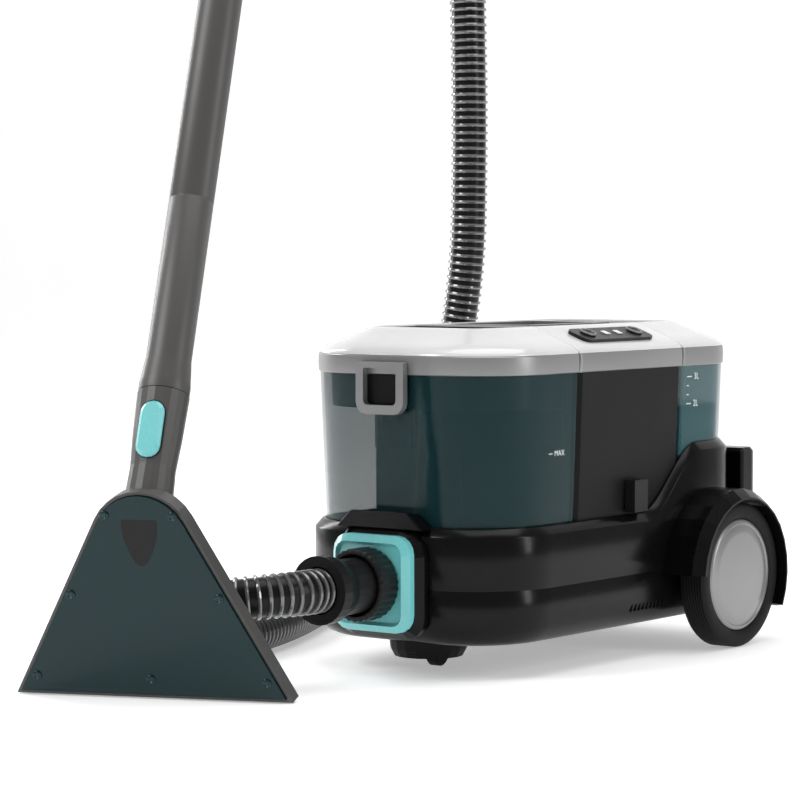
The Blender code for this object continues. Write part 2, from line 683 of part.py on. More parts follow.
# ---- handle, latch, catches and controls -------------------------------------------------
def bail(frame, finish):
    """The carrying handle, lying in the lid's recess and hinged at its rear ends."""
    z0 = DOME_TOP - RECESS_DEPTH + BAIL_LIFT
    pivot_z = z0 + BAIL_HEIGHT / 2
    pivot = empty("handle_axis", Matrix.Translation((0, BAIL_PIVOT_Y, pivot_z)), frame)
    w, t = BAIL_HALF_WIDTH, BAIL_BAR
    low, high = BAIL_GRIP_Y - t / 2, BAIL_PIVOT_Y + t / 2
    outer = rounded((-w, low), (w, high), (0.030, 0.004), (4, 4))
    inner = rounded((t - w, low + t + 0.006), (w - t, high - t), (0.022, 0.004), (4, 4))
    bm = tube(outer, inner, z0, z0 + BAIL_HEIGHT)
    return add("carry_handle", bm, finish, frame, pivot)


def latch(frame, finish, slide):
    """The U-shaped clip that holds the dirty tank's lid down, hinged in the silver band."""
    y1 = -BODY_LENGTH / 2 - LATCH_GAP
    y0 = y1 - LATCH_DEPTH
    z1 = BAND_TOP - 0.006
    z0 = z1 - LATCH_HEIGHT
    at = Matrix.Translation((LATCH_X, y1 - LATCH_DEPTH / 2, z1 - 0.003))
    pivot = empty("latch_axis", at, frame)
    w, t = LATCH_WIDTH / 2, LATCH_BAR
    shape = rounded((LATCH_X - w, z0), (LATCH_X + w, z1), (0.012, 0.002), (3, 3))
    hole = rounded((LATCH_X - w + t, z0 + t), (LATCH_X + w - t, z1 - 0.006), (0.005, 0.002), (3, 3))
    made = add("lid_latch", tube(shape, hole, y0, y1, along_y), finish, frame, pivot)
    pivot.parent = slide
    pivot.matrix_basis = slide.matrix_basis.inverted() @ at
    return made


def catch(side, frame, finish):
    """A small catch at the foot of the column, above the base's rim."""
    y0, y1 = CATCH_Y, CATCH_Y + CATCH_LENGTH
    z0 = rim_height(y1) + 0.003
    z1 = z0 + CATCH_HEIGHT
    inner = half_width(tank_inset(z1)) + 0.0006
    outer = half_width(-BASE_OVERHANG) + 0.0026
    name = "catch_right" if side > 0 else "catch_left"
    at = Matrix.Translation((side * (inner + 0.004), (y0 + y1) / 2, z0 + 0.005))
    pivot = empty(name + "_axis", at, frame)
    xs = sorted((side * inner, side * outer))
    bm = block((xs[0], y0, z0), (xs[1], y1, z1))
    return add(name, bm, finish, frame, pivot, smooth=False)


def slope_matrix():
    """The frame of the control panel: x down the right shoulder, z out of it."""
    rise = DOME_SLOPE_Z_HIGH - DOME_SLOPE_Z_LOW
    run = DOME_SLOPE_HIGH - DOME_SLOPE_LOW
    tilt = math.atan2(rise, run)
    x = half_width((DOME_SLOPE_LOW + DOME_SLOPE_HIGH) / 2)
    z = (DOME_SLOPE_Z_LOW + DOME_SLOPE_Z_HIGH) / 2
    return Matrix.Translation((x, PANEL_Y, z)) @ Matrix.Rotation(tilt, 4, "Y")


def controls(frame, finishes):
    slope = empty("panel_frame", slope_matrix(), frame)
    w, h = PANEL_WIDTH / 2, PANEL_LENGTH / 2
    ring = rounded((-w, -h), (w, h), (0.008, 0.008), (3, 3))
    bm = stack([lift(ring, GAP), lift(ring, PANEL_THICKNESS)])
    panel = add("control_panel", bm, finishes["graphite"], slope)
    for name, side in (("pump_button", -1), ("power_button", 1)):
        y = side * BUTTON_SPREAD / 2
        well = rod(BUTTON_RADIUS + 0.0005, 16, -0.01, 0.01, (0, y))
        boolean(panel, cutter(name + "_well", well, slope))
        pivot = empty(name + "_slide", Matrix.Translation((0, y, PANEL_THICKNESS)), slope)
        low = GAP + BUTTON_TRAVEL + 0.0004
        profile = ((BUTTON_RADIUS, low), (BUTTON_RADIUS, low + 0.0022), (BUTTON_RADIUS - 0.001, low + 0.003))
        rings = [lift(circle(r, 16, (0, y)), z) for r, z in profile]
        add(name, stack(rings), finishes["black"], slope, pivot)
    for name, y in (("pump_lamp", -0.011), ("power_lamp", 0.011)):
        bm = block((-0.004, y - 0.004, PANEL_THICKNESS + GAP), (0.004, y + 0.004, PANEL_THICKNESS + 0.001))
        add(name, bm, finishes["lamp"], slope, smooth=False)


# ---- floor tool and wand -----------------------------------------------------------------
def tool_matrix(lean_forward, at):
    """x along the lip, z up the piece, y out of its back."""
    yaw = Matrix.Rotation(math.radians(TOOL_YAW), 4, "Z")
    return Matrix.Translation(at) @ yaw @ Matrix.Rotation(math.radians(lean_forward), 4, "X")


def tool_outline():
    """The round-topped triangle of the floor tool, in x and z, running anticlockwise."""
    half, r = TOOL_WIDTH / 2, TOOL_TOP_RADIUS
    cz = TOOL_HEIGHT - r
    reach = math.hypot(half, cz)
    tangent = math.acos(r / reach) + math.atan2(-cz, half)
    points = [(-half, 0.0), (half, 0.0)]
    steps = 10
    for i in range(steps + 1):
        a = tangent + (math.pi - 2 * tangent) * i / steps
        points.append((r * math.cos(a), cz + r * math.sin(a)))
    return points


def facing(outline, y):
    """An x-z outline at depth y, turned so that stacking towards +y gives an outward skin."""
    return [(x, y, z) for x, z in outline]


def nozzle(tool, wand, finishes):
    """The tool's body, hollow towards its window, with the neck grown out of its top."""
    rim = tool_outline()
    back = offset_convex(rim, 0.010)
    y0 = WINDOW_THICKNESS + GAP
    rings = [facing(rim, y0), facing(rim, TOOL_DEPTH - 0.010), facing(back, TOOL_DEPTH)]
    body = add("nozzle_body", stack(rings), finishes["grey"], tool)
    oval = (1.0, NECK_HALF_DEPTH / NECK_HALF_WIDTH)
    profile = ((0.85, -0.050), (1.0, -0.012), (0.92, 0.030), (1.0, 0.060), (1.06, NECK_LENGTH))
    rings = [lift(circle(NECK_HALF_WIDTH * k, 20, (0, 0), oval[1]), z) for k, z in profile]
    boolean(body, cutter("neck_form", stack(rings), wand), "UNION")
    front = block((-0.1, -0.1, -0.01), (0.1, y0, TOOL_HEIGHT + 0.01))
    boolean(body, cutter("front_cut", front, tool))
    cave = offset_convex(rim, TOOL_WALL)
    cave_back = offset_convex(rim, 0.012)
    deep = TOOL_DEPTH - TOOL_WALL
    rings = [facing(cave, -0.01), facing(cave, deep - 0.008), facing(cave_back, deep)]
    boolean(body, cutter("nozzle_cave", stack(rings), tool))
    bore = [lift(circle(NECK_HALF_WIDTH - 0.006, 16, (0, 0), oval[1]), z) for z in (-0.020, 0.2)]
    boolean(body, cutter("neck_bore", stack(bore), wand))
    slot = block((-TOOL_WIDTH / 2 + 0.016, 0.008, -0.01), (TOOL_WIDTH / 2 - 0.016, 0.020, 0.01))
    boolean(body, cutter("suction_slot", slot, tool))
    socket = rounded((-0.0125, -0.0285), (0.0125, 0.0285), (0.0122, 0.0122), (4, 4))
    ring = [(x, z + BUTTON_Z) for x, z in socket]
    cut = stack([facing(ring, -0.05), facing(ring, -0.0175)])
    boolean(body, cutter("button_socket", cut, wand))
    return body


BUTTON_Z = 0.062


def nozzle_button(wand, finish):
    """The oval release button on the front of the neck, pressed inwards."""
    front = -NECK_HALF_DEPTH - 0.0035
    shape = rounded((-0.0115, BUTTON_Z - 0.0275), (0.0115, BUTTON_Z + 0.0275), (0.0112, 0.0112), (4, 4))
    top = offset_convex(shape, 0.003)
    back = -0.0175 - 0.003
    pivot = empty("nozzle_button_slide", Matrix.Translation((0, front, BUTTON_Z)), wand)
    rings = [facing(top, front), facing(shape, front + 0.003), facing(shape, back)]
    return add("nozzle_button", stack(rings), finish, wand, pivot)


SCREW_PLACES = (
    (-0.033, TOOL_HEIGHT - 0.022),
    (0.033, TOOL_HEIGHT - 0.022),
    (-0.072, TOOL_HEIGHT / 2),
    (0.072, TOOL_HEIGHT / 2),
    (-0.112, 0.019),
    (0.0, 0.019),
    (0.112, 0.019),
)


def window(tool, finishes):
    rim = offset_convex(tool_outline(), WINDOW_INSET)
    bm = stack([facing(rim, 0.0), facing(rim, WINDOW_THICKNESS)])
    pane = add("nozzle_window", bm, finishes["teal"], tool)
    for i, (x, z) in enumerate(SCREW_PLACES):
        hole = rod(SCREW_SHANK_RADIUS + GAP, 8, -0.01, 0.01, (x, z), along_y)
        boolean(pane, cutter(f"screw_hole_{i + 1}", hole, tool))
        profile = ((SCREW_HEAD_RADIUS - 0.001, -0.0024), (SCREW_HEAD_RADIUS, -0.0014))
        profile += ((SCREW_HEAD_RADIUS, -GAP), (SCREW_SHANK_RADIUS, -GAP), (SCREW_SHANK_RADIUS, 0.010))
        rings = [along_y(circle(r, 12, (x, z)), y) for r, y in profile]
        add(f"window_screw_{i + 1}", stack(rings), finishes["steel"], tool)


def oval_tube(sections, wall, steps=20):
    """A hollow oval tube; sections are (half width, half depth, z)."""
    outer = [lift(circle(a, steps, (0, 0), b / a), z) for a, b, z in sections]
    inner = [lift(circle(a - wall, steps, (0, 0), (b - wall) / (a - wall)), z) for a, b, z in sections]
    return stack(outer + inner[::-1], True)


def wand_tube(wand, finish):
    z = NECK_LENGTH + GAP
    wide, deep = NECK_HALF_WIDTH * 1.06, NECK_HALF_DEPTH * 1.06
    sections = ((wide, deep, z), (wide, deep, z + 0.010), (TUBE_HALF_WIDTH, TUBE_HALF_DEPTH, z + 0.030))
    sections += ((TUBE_HALF_WIDTH, TUBE_HALF_DEPTH, TUBE_TOP),)
    return add("wand_tube", oval_tube(sections, TUBE_WALL), finish, wand)


def grip_path():
    """Places and directions along the grip, in the wand's y and z: up, then bending back."""
    path = [(0.0, TUBE_TOP + GAP, 0.0), (0.0, TUBE_TOP + 0.040, 0.0)]
    bend = math.radians(90 - WAND_LEAN)
    r = GRIP_BEND_RADIUS
    steps = 6
    for i in range(1, steps + 1):
        a = bend * i / steps
        path.append((r - r * math.cos(a), TUBE_TOP + 0.040 + r * math.sin(a), a))
    y, z, a = path[-1]
    path.append((y + GRIP_LENGTH * math.sin(a), z + GRIP_LENGTH * math.cos(a), a))
    return path


def swept(path, radii, steps=16):
    rings = []
    for (y, z, a), r in zip(path, radii, strict=True):
        ring = []
        for x, v in circle(r, steps):
            ring.append((x, y + v * math.cos(a), z - v * math.sin(a)))
        rings.append(ring)
    return rings


def grip_frame():
    """A place at the front of the grip, with the directions along it and out of its underside."""
    y, z, a = grip_path()[-2]
    along = Vector((0, math.sin(a), math.cos(a)))
    under = Vector((0, math.cos(a), -math.sin(a)))
    return Vector((0, y, z)), along, under


def trigger_lug(wand):
    """The lug under the grip that the trigger hangs from."""
    origin, along, under = grip_frame()
    corners = ((-0.020, 0.018), (0.0035, 0.018), (0.0035, 0.036), (-0.008, 0.038))
    rings = []
    for x in (-0.010, 0.010):
        rings.append([tuple(origin + along * s + under * d + Vector((x, 0, 0))) for s, d in corners])
    return cutter("trigger_lug", stack(rings), wand)


def grip(wand, finishes):
    path = grip_path()
    radii = [TUBE_HALF_WIDTH + 0.002, TUBE_HALF_WIDTH] + [0.021] * (len(path) - 3) + [GRIP_RADIUS]
    outer = swept(path, radii)
    inner = swept(path, [r - 0.004 for r in radii])
    made = add("grip", stack(outer + inner[::-1], True), finishes["grey"], wand)
    boolean(made, trigger_lug(wand), "UNION")
    y, z, a = path[-1]
    step = Vector((0, math.sin(a), math.cos(a)))
    start = Vector((0, y, z)) + step * GAP
    stations = [(*((start + step * d).yz), a) for d in (0.0, 0.040, 0.052, 0.060)]
    radii = [GRIP_RADIUS + 0.001, 0.024, 0.028, 0.028]
    outer = swept(stations, radii)
    inner = swept(stations, [r - 0.004 for r in radii])
    add("grip_cuff", stack(outer + inner[::-1], True), finishes["black"], wand)


def trigger(wand, finish):
    """The spray trigger under the grip, hinged at its front."""
    origin, along, under = grip_frame()
    hinge = origin + along * 0.012 + under * (GRIP_RADIUS + 0.010)
    pivot = empty("trigger_axis", Matrix.Translation(hinge), wand)
    shape = ((-0.008, -0.003), (0.062, 0.002), (0.066, 0.008), (0.030, 0.012), (-0.008, 0.004))
    rings = []
    for x in (-0.007, 0.007):
        rings.append([tuple(hinge + along * s + under * d + Vector((x, 0, 0))) for s, d in shape])
    return add("spray_trigger", stack(rings), finish, wand, pivot)


def floor_tool(machine, finishes):
    lip = (TOOL_X, TOOL_Y, 0.0)
    tool = empty("tool_frame", tool_matrix(TOOL_LEAN, lip), machine)
    neck = tool.matrix_basis @ Vector((0, NECK_BACK, NECK_UP))
    wand = empty("wand_frame", tool_matrix(-WAND_LEAN, neck), machine)
    nozzle(tool, wand, finishes)
    window(tool, finishes)
    nozzle_button(wand, finishes["turquoise"])
    wand_tube(wand, finishes["grey"])
    grip(wand, finishes)
    trigger(wand, finishes["turquoise"])


# ---- hose --------------------------------------------------------------------------------
def hose(machine, finish):
    line = smooth_line(HOSE_ROUTE, HOSE_STEPS)
    data = bpy.data.curves.new("hose", "CURVE")
    data.dimensions = "3D"
    data.bevel_depth = HOSE_RADIUS
    data.bevel_resolution = 3
    data.use_fill_caps = True
    spline = data.splines.new("POLY")
    spline.points.add(len(line) - 1)
    for point, place in zip(spline.points, line, strict=True):
        point.co = (*place, 1.0)
    data.materials.append(finish)
    made = bpy.data.objects.new("hose", data)
    bpy.context.scene.collection.objects.link(made)
    made.parent = machine
    return made


def finishes():
    return {
        "black": material("gloss_black", (0.012, 0.012, 0.013), 0.25),
        "graphite": material("graphite", (0.05, 0.05, 0.052), 0.4),
        "grey": material("warm_grey", (0.13, 0.125, 0.12), 0.45),
        "silver": material("silver_paint", (0.36, 0.36, 0.36), 0.35, 0.6),
        "white": material("pearl_white", (0.80, 0.80, 0.80), 0.3),
        "teal": material("teal_clear", (0.02, 0.16, 0.17), 0.08, 0.0, 0.6),
        "turquoise": material("turquoise", (0.13, 0.55, 0.58), 0.35),
        "tyre": material("tyre", (0.02, 0.02, 0.02), 0.75),
        "steel": material("steel", (0.5, 0.5, 0.5), 0.3, 1.0),
        "board": material("board", (0.02, 0.14, 0.05), 0.5),
        "lamp": material("lamp", (0.9, 0.92, 0.92), 0.3),
        "hose": material("hose", (0.02, 0.02, 0.02), 0.3),
    }


def main():
    clear_scene()
    looks = finishes()
    machine = empty("machine", Matrix.Translation((MACHINE_X, MACHINE_Y, 0.0)))
    base_tray(machine, looks["black"])
    base_shell(machine, looks["black"])
    rear_housing(machine, looks["black"])
    port_block(machine, looks["black"])
    port_pieces(machine, looks)
    axle(machine, looks["steel"])
    caster(machine, looks)
    for side in (-1, 1):
        fender(side, machine, looks["black"])
        wheel(side, machine, looks)
        catch(side, machine, looks["black"])
    column(machine, looks["black"])
    middle_trim(machine, looks["silver"])
    dome("column_cover", middle_outline, (SEAM_FRONT + RECESS_LIP, SEAM_REAR - RECESS_LIP), looks["white"], machine)
    rear_stand(machine, looks["black"])
    inner_pieces(machine, looks)
    dirty_tank(machine, looks)
    clean_tank(machine, looks)
    bail(machine, looks["silver"])
    latch(machine, looks["silver"], bpy.data.objects["dirty_tank_slide"])
    controls(machine, looks)
    floor_tool(machine, looks)
    hose(machine, looks["hose"])


main()
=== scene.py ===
"""Looks of the carpet cleaner: body, tanks, wheels, hose port, floor nozzle, wand and ribbed hose."""

import math

import bmesh
import bpy
from mathutils import Euler, Matrix, Vector


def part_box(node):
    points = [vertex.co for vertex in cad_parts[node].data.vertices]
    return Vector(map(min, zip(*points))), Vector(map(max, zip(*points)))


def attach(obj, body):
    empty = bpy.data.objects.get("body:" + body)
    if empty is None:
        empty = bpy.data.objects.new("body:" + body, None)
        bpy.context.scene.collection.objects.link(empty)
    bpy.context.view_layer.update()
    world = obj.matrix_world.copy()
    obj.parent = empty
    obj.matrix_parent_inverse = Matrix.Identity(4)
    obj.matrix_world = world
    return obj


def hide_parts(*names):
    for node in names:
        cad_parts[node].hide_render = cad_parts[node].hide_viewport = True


bl_info = {
    "name": "Carpet cleaner",
    "version": (1, 0, 0),
    "blender": (4, 5, 0),
    "location": "3D View > Sidebar > Cleaner",
    "description": "Builds the looks of a wheeled carpet cleaner around its packed solids",
    "category": "Object",
}

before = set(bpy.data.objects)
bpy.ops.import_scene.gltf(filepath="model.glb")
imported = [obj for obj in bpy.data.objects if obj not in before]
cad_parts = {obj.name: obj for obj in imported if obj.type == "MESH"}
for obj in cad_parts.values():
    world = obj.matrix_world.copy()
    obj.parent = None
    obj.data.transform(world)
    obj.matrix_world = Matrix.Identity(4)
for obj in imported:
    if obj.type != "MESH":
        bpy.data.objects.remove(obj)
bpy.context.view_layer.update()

# ---- places read from the solids ---------------------------------------------------------
BASE_LOW, BASE_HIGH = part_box("base_shell")
CENTRE = Vector(((BASE_LOW.x + BASE_HIGH.x) / 2, (BASE_LOW.y + BASE_HIGH.y) / 2, 0.0))
HALF = (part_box("front_trim")[1].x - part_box("front_trim")[0].x) / 2
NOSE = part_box("front_trim")[0].y - CENTRE.y
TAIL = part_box("rear_trim")[1].y - CENTRE.y
SEAM_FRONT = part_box("front_trim")[1].y - CENTRE.y + 0.0006
SEAM_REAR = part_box("rear_trim")[0].y - CENTRE.y - 0.0006
BAND_LOW, BAND_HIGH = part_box("front_trim")[0].z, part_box("front_trim")[1].z
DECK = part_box("dirty_tank")[0].z
PORT_Z = (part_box("port_plate")[0].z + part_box("port_plate")[1].z) / 2
WHEEL_Y = (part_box("tyre_right")[0].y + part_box("tyre_right")[1].y) / 2 - CENTRE.y
WHEEL_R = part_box("tyre_right")[1].z / 2
MACHINE = Matrix.Translation(CENTRE)
TOOL_LIP, TOOL_YAW, TOOL_LEAN, WAND_LEAN = Vector((-0.080, -0.482, 0.0)), 22.3, 11.5, 24.5
NECK_AT = Vector((0, 0.030, 0.182))


def standing(lean, at):
    """Axes of a piece yawed like the floor nozzle: x along its lip, y out of its back, z up it."""
    yaw = Matrix.Rotation(math.radians(TOOL_YAW), 4, "Z")
    return Matrix.Translation(at) @ yaw @ Matrix.Rotation(math.radians(lean), 4, "X")


TOOL = standing(TOOL_LEAN, CENTRE + TOOL_LIP)
WAND = standing(-WAND_LEAN, TOOL @ NECK_AT)


# ---- settings ----------------------------------------------------------------------------
def colour_setting(name, description, default):
    return bpy.props.FloatVectorProperty(
        name=name, description=description, default=default, subtype="COLOR", size=3, min=0, max=1
    )


def length_setting(name, description, default):
    return bpy.props.FloatProperty(
        name=name, description=description, default=default, unit="LENGTH", min=0.0
    )


class CleanerColours(bpy.types.PropertyGroup):
    """Colours of the machine's plastics."""

    body: colour_setting("Body", "Gloss black of the base", (0.004, 0.004, 0.0045))
    column: colour_setting("Column", "Matte charcoal between the tanks", (0.009, 0.009, 0.009))
    lid: colour_setting("Lids", "Pearl white of the three lids", (0.74, 0.74, 0.75))
    band: colour_setting("Band", "Satin silver of the band, latch and handle", (0.30, 0.30, 0.305))
    tank: colour_setting("Tanks", "Tint of the clear tanks", (0.008, 0.048, 0.055))
    accent: colour_setting("Accents", "Turquoise of the port and the buttons", (0.190, 0.630, 0.640))
    wand: colour_setting("Wand", "Warm grey of the wand and the nozzle's body", (0.078, 0.075, 0.073))
    window: colour_setting("Window", "Dark tint of the nozzle's window", (0.002, 0.024, 0.028))


class CleanerSizes(bpy.types.PropertyGroup):
    """Sizes of the details that the solids leave out."""

    rib_pitch: length_setting("Rib pitch", "Distance between two ribs of the hose", 0.0088)
    rib_depth: length_setting("Rib depth", "How far a rib stands out of the hose", 0.0026)
    hose_width: length_setting("Hose width", "Outside width of the hose over its ribs", 0.043)
    ring_flutes: bpy.props.IntProperty(
        name="Ring flutes", description="Grip flutes round the lock ring", default=30, min=8, max=60
    )
    vent_slits: bpy.props.IntProperty(
        name="Vent slits", description="Slits in each lower side", default=9, min=1, max=20
    )


# ---- finishes ----------------------------------------------------------------------------
def link(tree, source, output, target, socket):
    tree.links.new(source.outputs[output], target.inputs[socket])


def group_tree(name, inputs, outputs):
    tree = bpy.data.node_groups.new(name, "ShaderNodeTree")
    for label, kind, default in inputs:
        made = tree.interface.new_socket(label, in_out="INPUT", socket_type=kind)
        if default is not None:
            made.default_value = default
    for label, kind in outputs:
        tree.interface.new_socket(label, in_out="OUTPUT", socket_type=kind)
    return tree, tree.nodes.new("NodeGroupInput"), tree.nodes.new("NodeGroupOutput")


def moulded_grain():
    """Colour, roughness and height of a moulded skin: fine grain, slow gloss drift, faint scuffs."""
    name = "moulded_grain"
    if name in bpy.data.node_groups:
        return bpy.data.node_groups[name]
    number, colour = "NodeSocketFloat", "NodeSocketColor"
    tree, start, end = group_tree(
        name,
        (
            ("Place", "NodeSocketVector", None),
            ("Colour", colour, (0.5, 0.5, 0.5, 1)),
            ("Gloss", number, 0.4),
            ("Grain size", number, 900.0),
            ("Drift", number, 0.10),
            ("Tone", number, 0.12),
        ),
        (("Colour", colour), ("Roughness", number), ("Height", number)),
    )
    grain = tree.nodes.new("ShaderNodeTexNoise")
    link(tree, start, "Place", grain, "Vector")
    link(tree, start, "Grain size", grain, "Scale")
    grain.inputs["Detail"].default_value = 3.0
    drift = tree.nodes.new("ShaderNodeTexNoise")
    link(tree, start, "Place", drift, "Vector")
    drift.inputs["Scale"].default_value = 14.0
    drift.inputs["Detail"].default_value = 5.0
    scuffs = tree.nodes.new("ShaderNodeTexVoronoi")
    scuffs.feature = "DISTANCE_TO_EDGE"
    link(tree, start, "Place", scuffs, "Vector")
    scuffs.inputs["Scale"].default_value = 60.0
    worn = tree.nodes.new("ShaderNodeMapRange")
    link(tree, scuffs, "Distance", worn, "Value")
    for socket, value in (("From Max", 0.02), ("To Min", 0.06), ("To Max", 0.0)):
        worn.inputs[socket].default_value = value
    centred = tree.nodes.new("ShaderNodeMath")
    centred.operation = "SUBTRACT"
    link(tree, drift, "Fac", centred, 0)
    centred.inputs[1].default_value = 0.5
    spread = tree.nodes.new("ShaderNodeMath")
    spread.operation = "MULTIPLY_ADD"
    link(tree, centred, 0, spread, 0)
    link(tree, start, "Drift", spread, 1)
    link(tree, start, "Gloss", spread, 2)
    rough = tree.nodes.new("ShaderNodeMath")
    rough.use_clamp = True
    link(tree, spread, 0, rough, 0)
    link(tree, worn, "Result", rough, 1)
    link(tree, rough, 0, end, "Roughness")
    shade = tree.nodes.new("ShaderNodeMath")
    shade.operation = "MULTIPLY"
    link(tree, drift, "Fac", shade, 0)
    link(tree, start, "Tone", shade, 1)
    mix = tree.nodes.new("ShaderNodeMix")
    mix.data_type = "RGBA"
    mix.blend_type = "MULTIPLY"
    tree.links.new(shade.outputs[0], mix.inputs["Factor"])
    tree.links.new(start.outputs["Colour"], mix.inputs[6])
    mix.inputs[7].default_value = (0.55, 0.55, 0.57, 1)
    tree.links.new(mix.outputs[2], end.inputs["Colour"])
    link(tree, grain, "Fac", end, "Height")
    return tree


def finish(name, colour, gloss, grain=900.0, depth=0.00002, drift=0.10, tone=0.12, **sockets):
    """A Principled material whose colour, gloss and grain come from the shared moulded_grain group."""
    name = "cleaner_" + name
    if name in bpy.data.materials:
        return bpy.data.materials[name]
    made = bpy.data.materials.new(name)
    made.use_nodes = True
    tree = made.node_tree
    shader = tree.nodes["Principled BSDF"]
    place = tree.nodes.new("ShaderNodeTexCoord")
    skin = tree.nodes.new("ShaderNodeGroup")
    skin.node_tree = moulded_grain()
    link(tree, place, "Object", skin, "Place")
    skin.inputs["Colour"].default_value = (*colour, 1)
    for socket, value in (("Gloss", gloss), ("Grain size", grain), ("Drift", drift), ("Tone", tone)):
        skin.inputs[socket].default_value = value
    bump = tree.nodes.new("ShaderNodeBump")
    bump.inputs["Distance"].default_value = depth
    link(tree, skin, "Height", bump, "Height")
    link(tree, skin, "Colour", shader, "Base Color")
    link(tree, skin, "Roughness", shader, "Roughness")
    link(tree, bump, "Normal", shader, "Normal")
    for socket, value in sockets.items():
        shader.inputs[socket.replace("_", " ")].default_value = value
    return made


def colours():
    return bpy.context.scene.cleaner_colours


def sizes():
    return bpy.context.scene.cleaner_sizes


def gloss_black():
    return finish(
        "gloss_black", colours().body, 0.22, 700, 0.00001, 0.12, 0.3,
        Specular_IOR_Level=0.16, Coat_Weight=0.03, Coat_Roughness=0.1,
    )


def satin_black():
    return finish("satin_black", colours().body, 0.42, 1100, 0.00004, 0.12, 0.3, Specular_IOR_Level=0.16)


def charcoal():
    return finish("charcoal", colours().column, 0.50, 1300, 0.00005, 0.10, 0.25, Specular_IOR_Level=0.15)


def graphite():
    return finish("graphite", (0.012, 0.012, 0.013), 0.34, 900, 0.00002, Specular_IOR_Level=0.22)


def pearl_white():
    return finish(
        "pearl_white", colours().lid, 0.20, 500, 0.00001, 0.06, 0.03,
        Coat_Weight=0.5, Coat_Roughness=0.06,
    )


def satin_silver():
    return finish("satin_silver", colours().band, 0.33, 1600, 0.00002, 0.08, 0.08, Metallic=0.55)


def turquoise():
    return finish(
        "turquoise", colours().accent, 0.26, 900, 0.00001, 0.06, 0.06,
        Coat_Weight=0.3, Coat_Roughness=0.1,
    )


def warm_grey():
    return finish("warm_grey", colours().wand, 0.40, 1200, 0.00003, 0.10, 0.15)


def clear_teal():
    return finish(
        "clear_teal", colours().tank, 0.10, 300, 0.0000005, 0.04, 0.10,
        Alpha=0.42, Specular_IOR_Level=0.3, Coat_Weight=0.06,
    )


def clear_teal_light():
    tint = [min(1.0, c * 2.4) for c in colours().tank]
    return finish(
        "clear_teal_light", tint, 0.10, 300, 0.0000005, 0.04, 0.10,
        Alpha=0.50, Specular_IOR_Level=0.3, Coat_Weight=0.10,
    )


def window_teal():
    return finish(
        "window_teal", colours().window, 0.14, 300, 0.0000005, 0.04, 0.25,
        Alpha=0.93, Specular_IOR_Level=0.3, Coat_Weight=0.06,
    )


def water():
    return finish("water", (0.010, 0.050, 0.058), 0.05, 120, 0.00002, 0.02, 0.1, Alpha=0.75)


def rubber():
    return finish("rubber", (0.006, 0.006, 0.006), 0.6, 1800, 0.00008, 0.15, 0.4, Specular_IOR_Level=0.2)


def steel():
    return finish("steel", (0.42, 0.42, 0.43), 0.28, 2200, 0.00003, 0.1, 0.2, Metallic=1.0)


def screw_teal():
    return finish("screw_teal", (0.010, 0.035, 0.040), 0.25, 900, 0.00002, 0.1, 0.2, Metallic=0.4)


def hose_black():
    return finish("hose_black", (0.005, 0.005, 0.005), 0.30, 500, 0.00004, 0.1, 0.3, Specular_IOR_Level=0.2)


def hose_rib():
    return finish(
        "hose_rib", (0.20, 0.20, 0.205), 0.16, 400, 0.00002, 0.08, 0.2,
        Metallic=0.5, Coat_Weight=0.3,
    )


def lamp_white():
    return finish("lamp_white", (0.86, 0.88, 0.88), 0.25, 500, 0.00001, 0.05, 0.05)


def print_white():
    return finish("print_white", (0.78, 0.80, 0.80), 0.45, 900, 0.00001, 0.1, 0.1)


def circuit_green():
    return finish("circuit_green", (0.012, 0.10, 0.03), 0.4, 900, 0.00003, 0.1, 0.3)


# ---- shapes ------------------------------------------------------------------------------
def circle(radius, steps, centre=(0, 0), squash=1.0):
    turn = 2 * math.pi / steps
    points = []
    for i in range(steps):
        a = turn * i
        points.append((centre[0] + radius * math.cos(a), centre[1] + squash * radius * math.sin(a)))
    return points


def rounded(low, high, radii, steps=10):
    """A rounded rectangle; radii are for the corners at low y and at high y."""
    (x0, y0), (x1, y1) = low, high
    corners = (
        (x1, y0, -1, 1, radii[0], -90),
        (x1, y1, -1, -1, radii[1], 0),
        (x0, y1, 1, -1, radii[1], 90),
        (x0, y0, 1, 1, radii[0], 180),
    )
    points = []
    for x, y, sx, sy, r, start in corners:
        for i in range(steps + 1):
            a = math.radians(start + 90 * i / steps)
            points.append((x + sx * r + r * math.cos(a), y + sy * r + r * math.sin(a)))
    return points


def lift(outline, z):
    return [(x, y, z(y) if callable(z) else z) for x, y in outline]


def along_y(outline, y):
    return [(x, y, z) for x, z in outline]


def along_x(outline, x):
    return [(x, y, z) for y, z in outline]


def stack(rings, loop=False, caps=True):
    """Skin over rings of equal count; loop joins the last ring to the first."""
    bm = bmesh.new()
    rows = [[bm.verts.new(p) for p in ring] for ring in rings]
    count = len(rows[0])
    pairs = list(zip(rows, rows[1:]))
    if loop:
        pairs.append((rows[-1], rows[0]))
    for low, high in pairs:
        for i in range(count):
            j = (i + 1) % count
            bm.faces.new((low[i], low[j], high[j], high[i]))
    if caps and not loop:
        bm.faces.new(rows[0][::-1])
        bm.faces.new(rows[-1])
    return bm


def block(low, high):
    (x0, y0, z0), (x1, y1, z1) = low, high
    ring = [(x0, y0), (x1, y0), (x1, y1), (x0, y1)]
    return stack([lift(ring, z0), lift(ring, z1)])


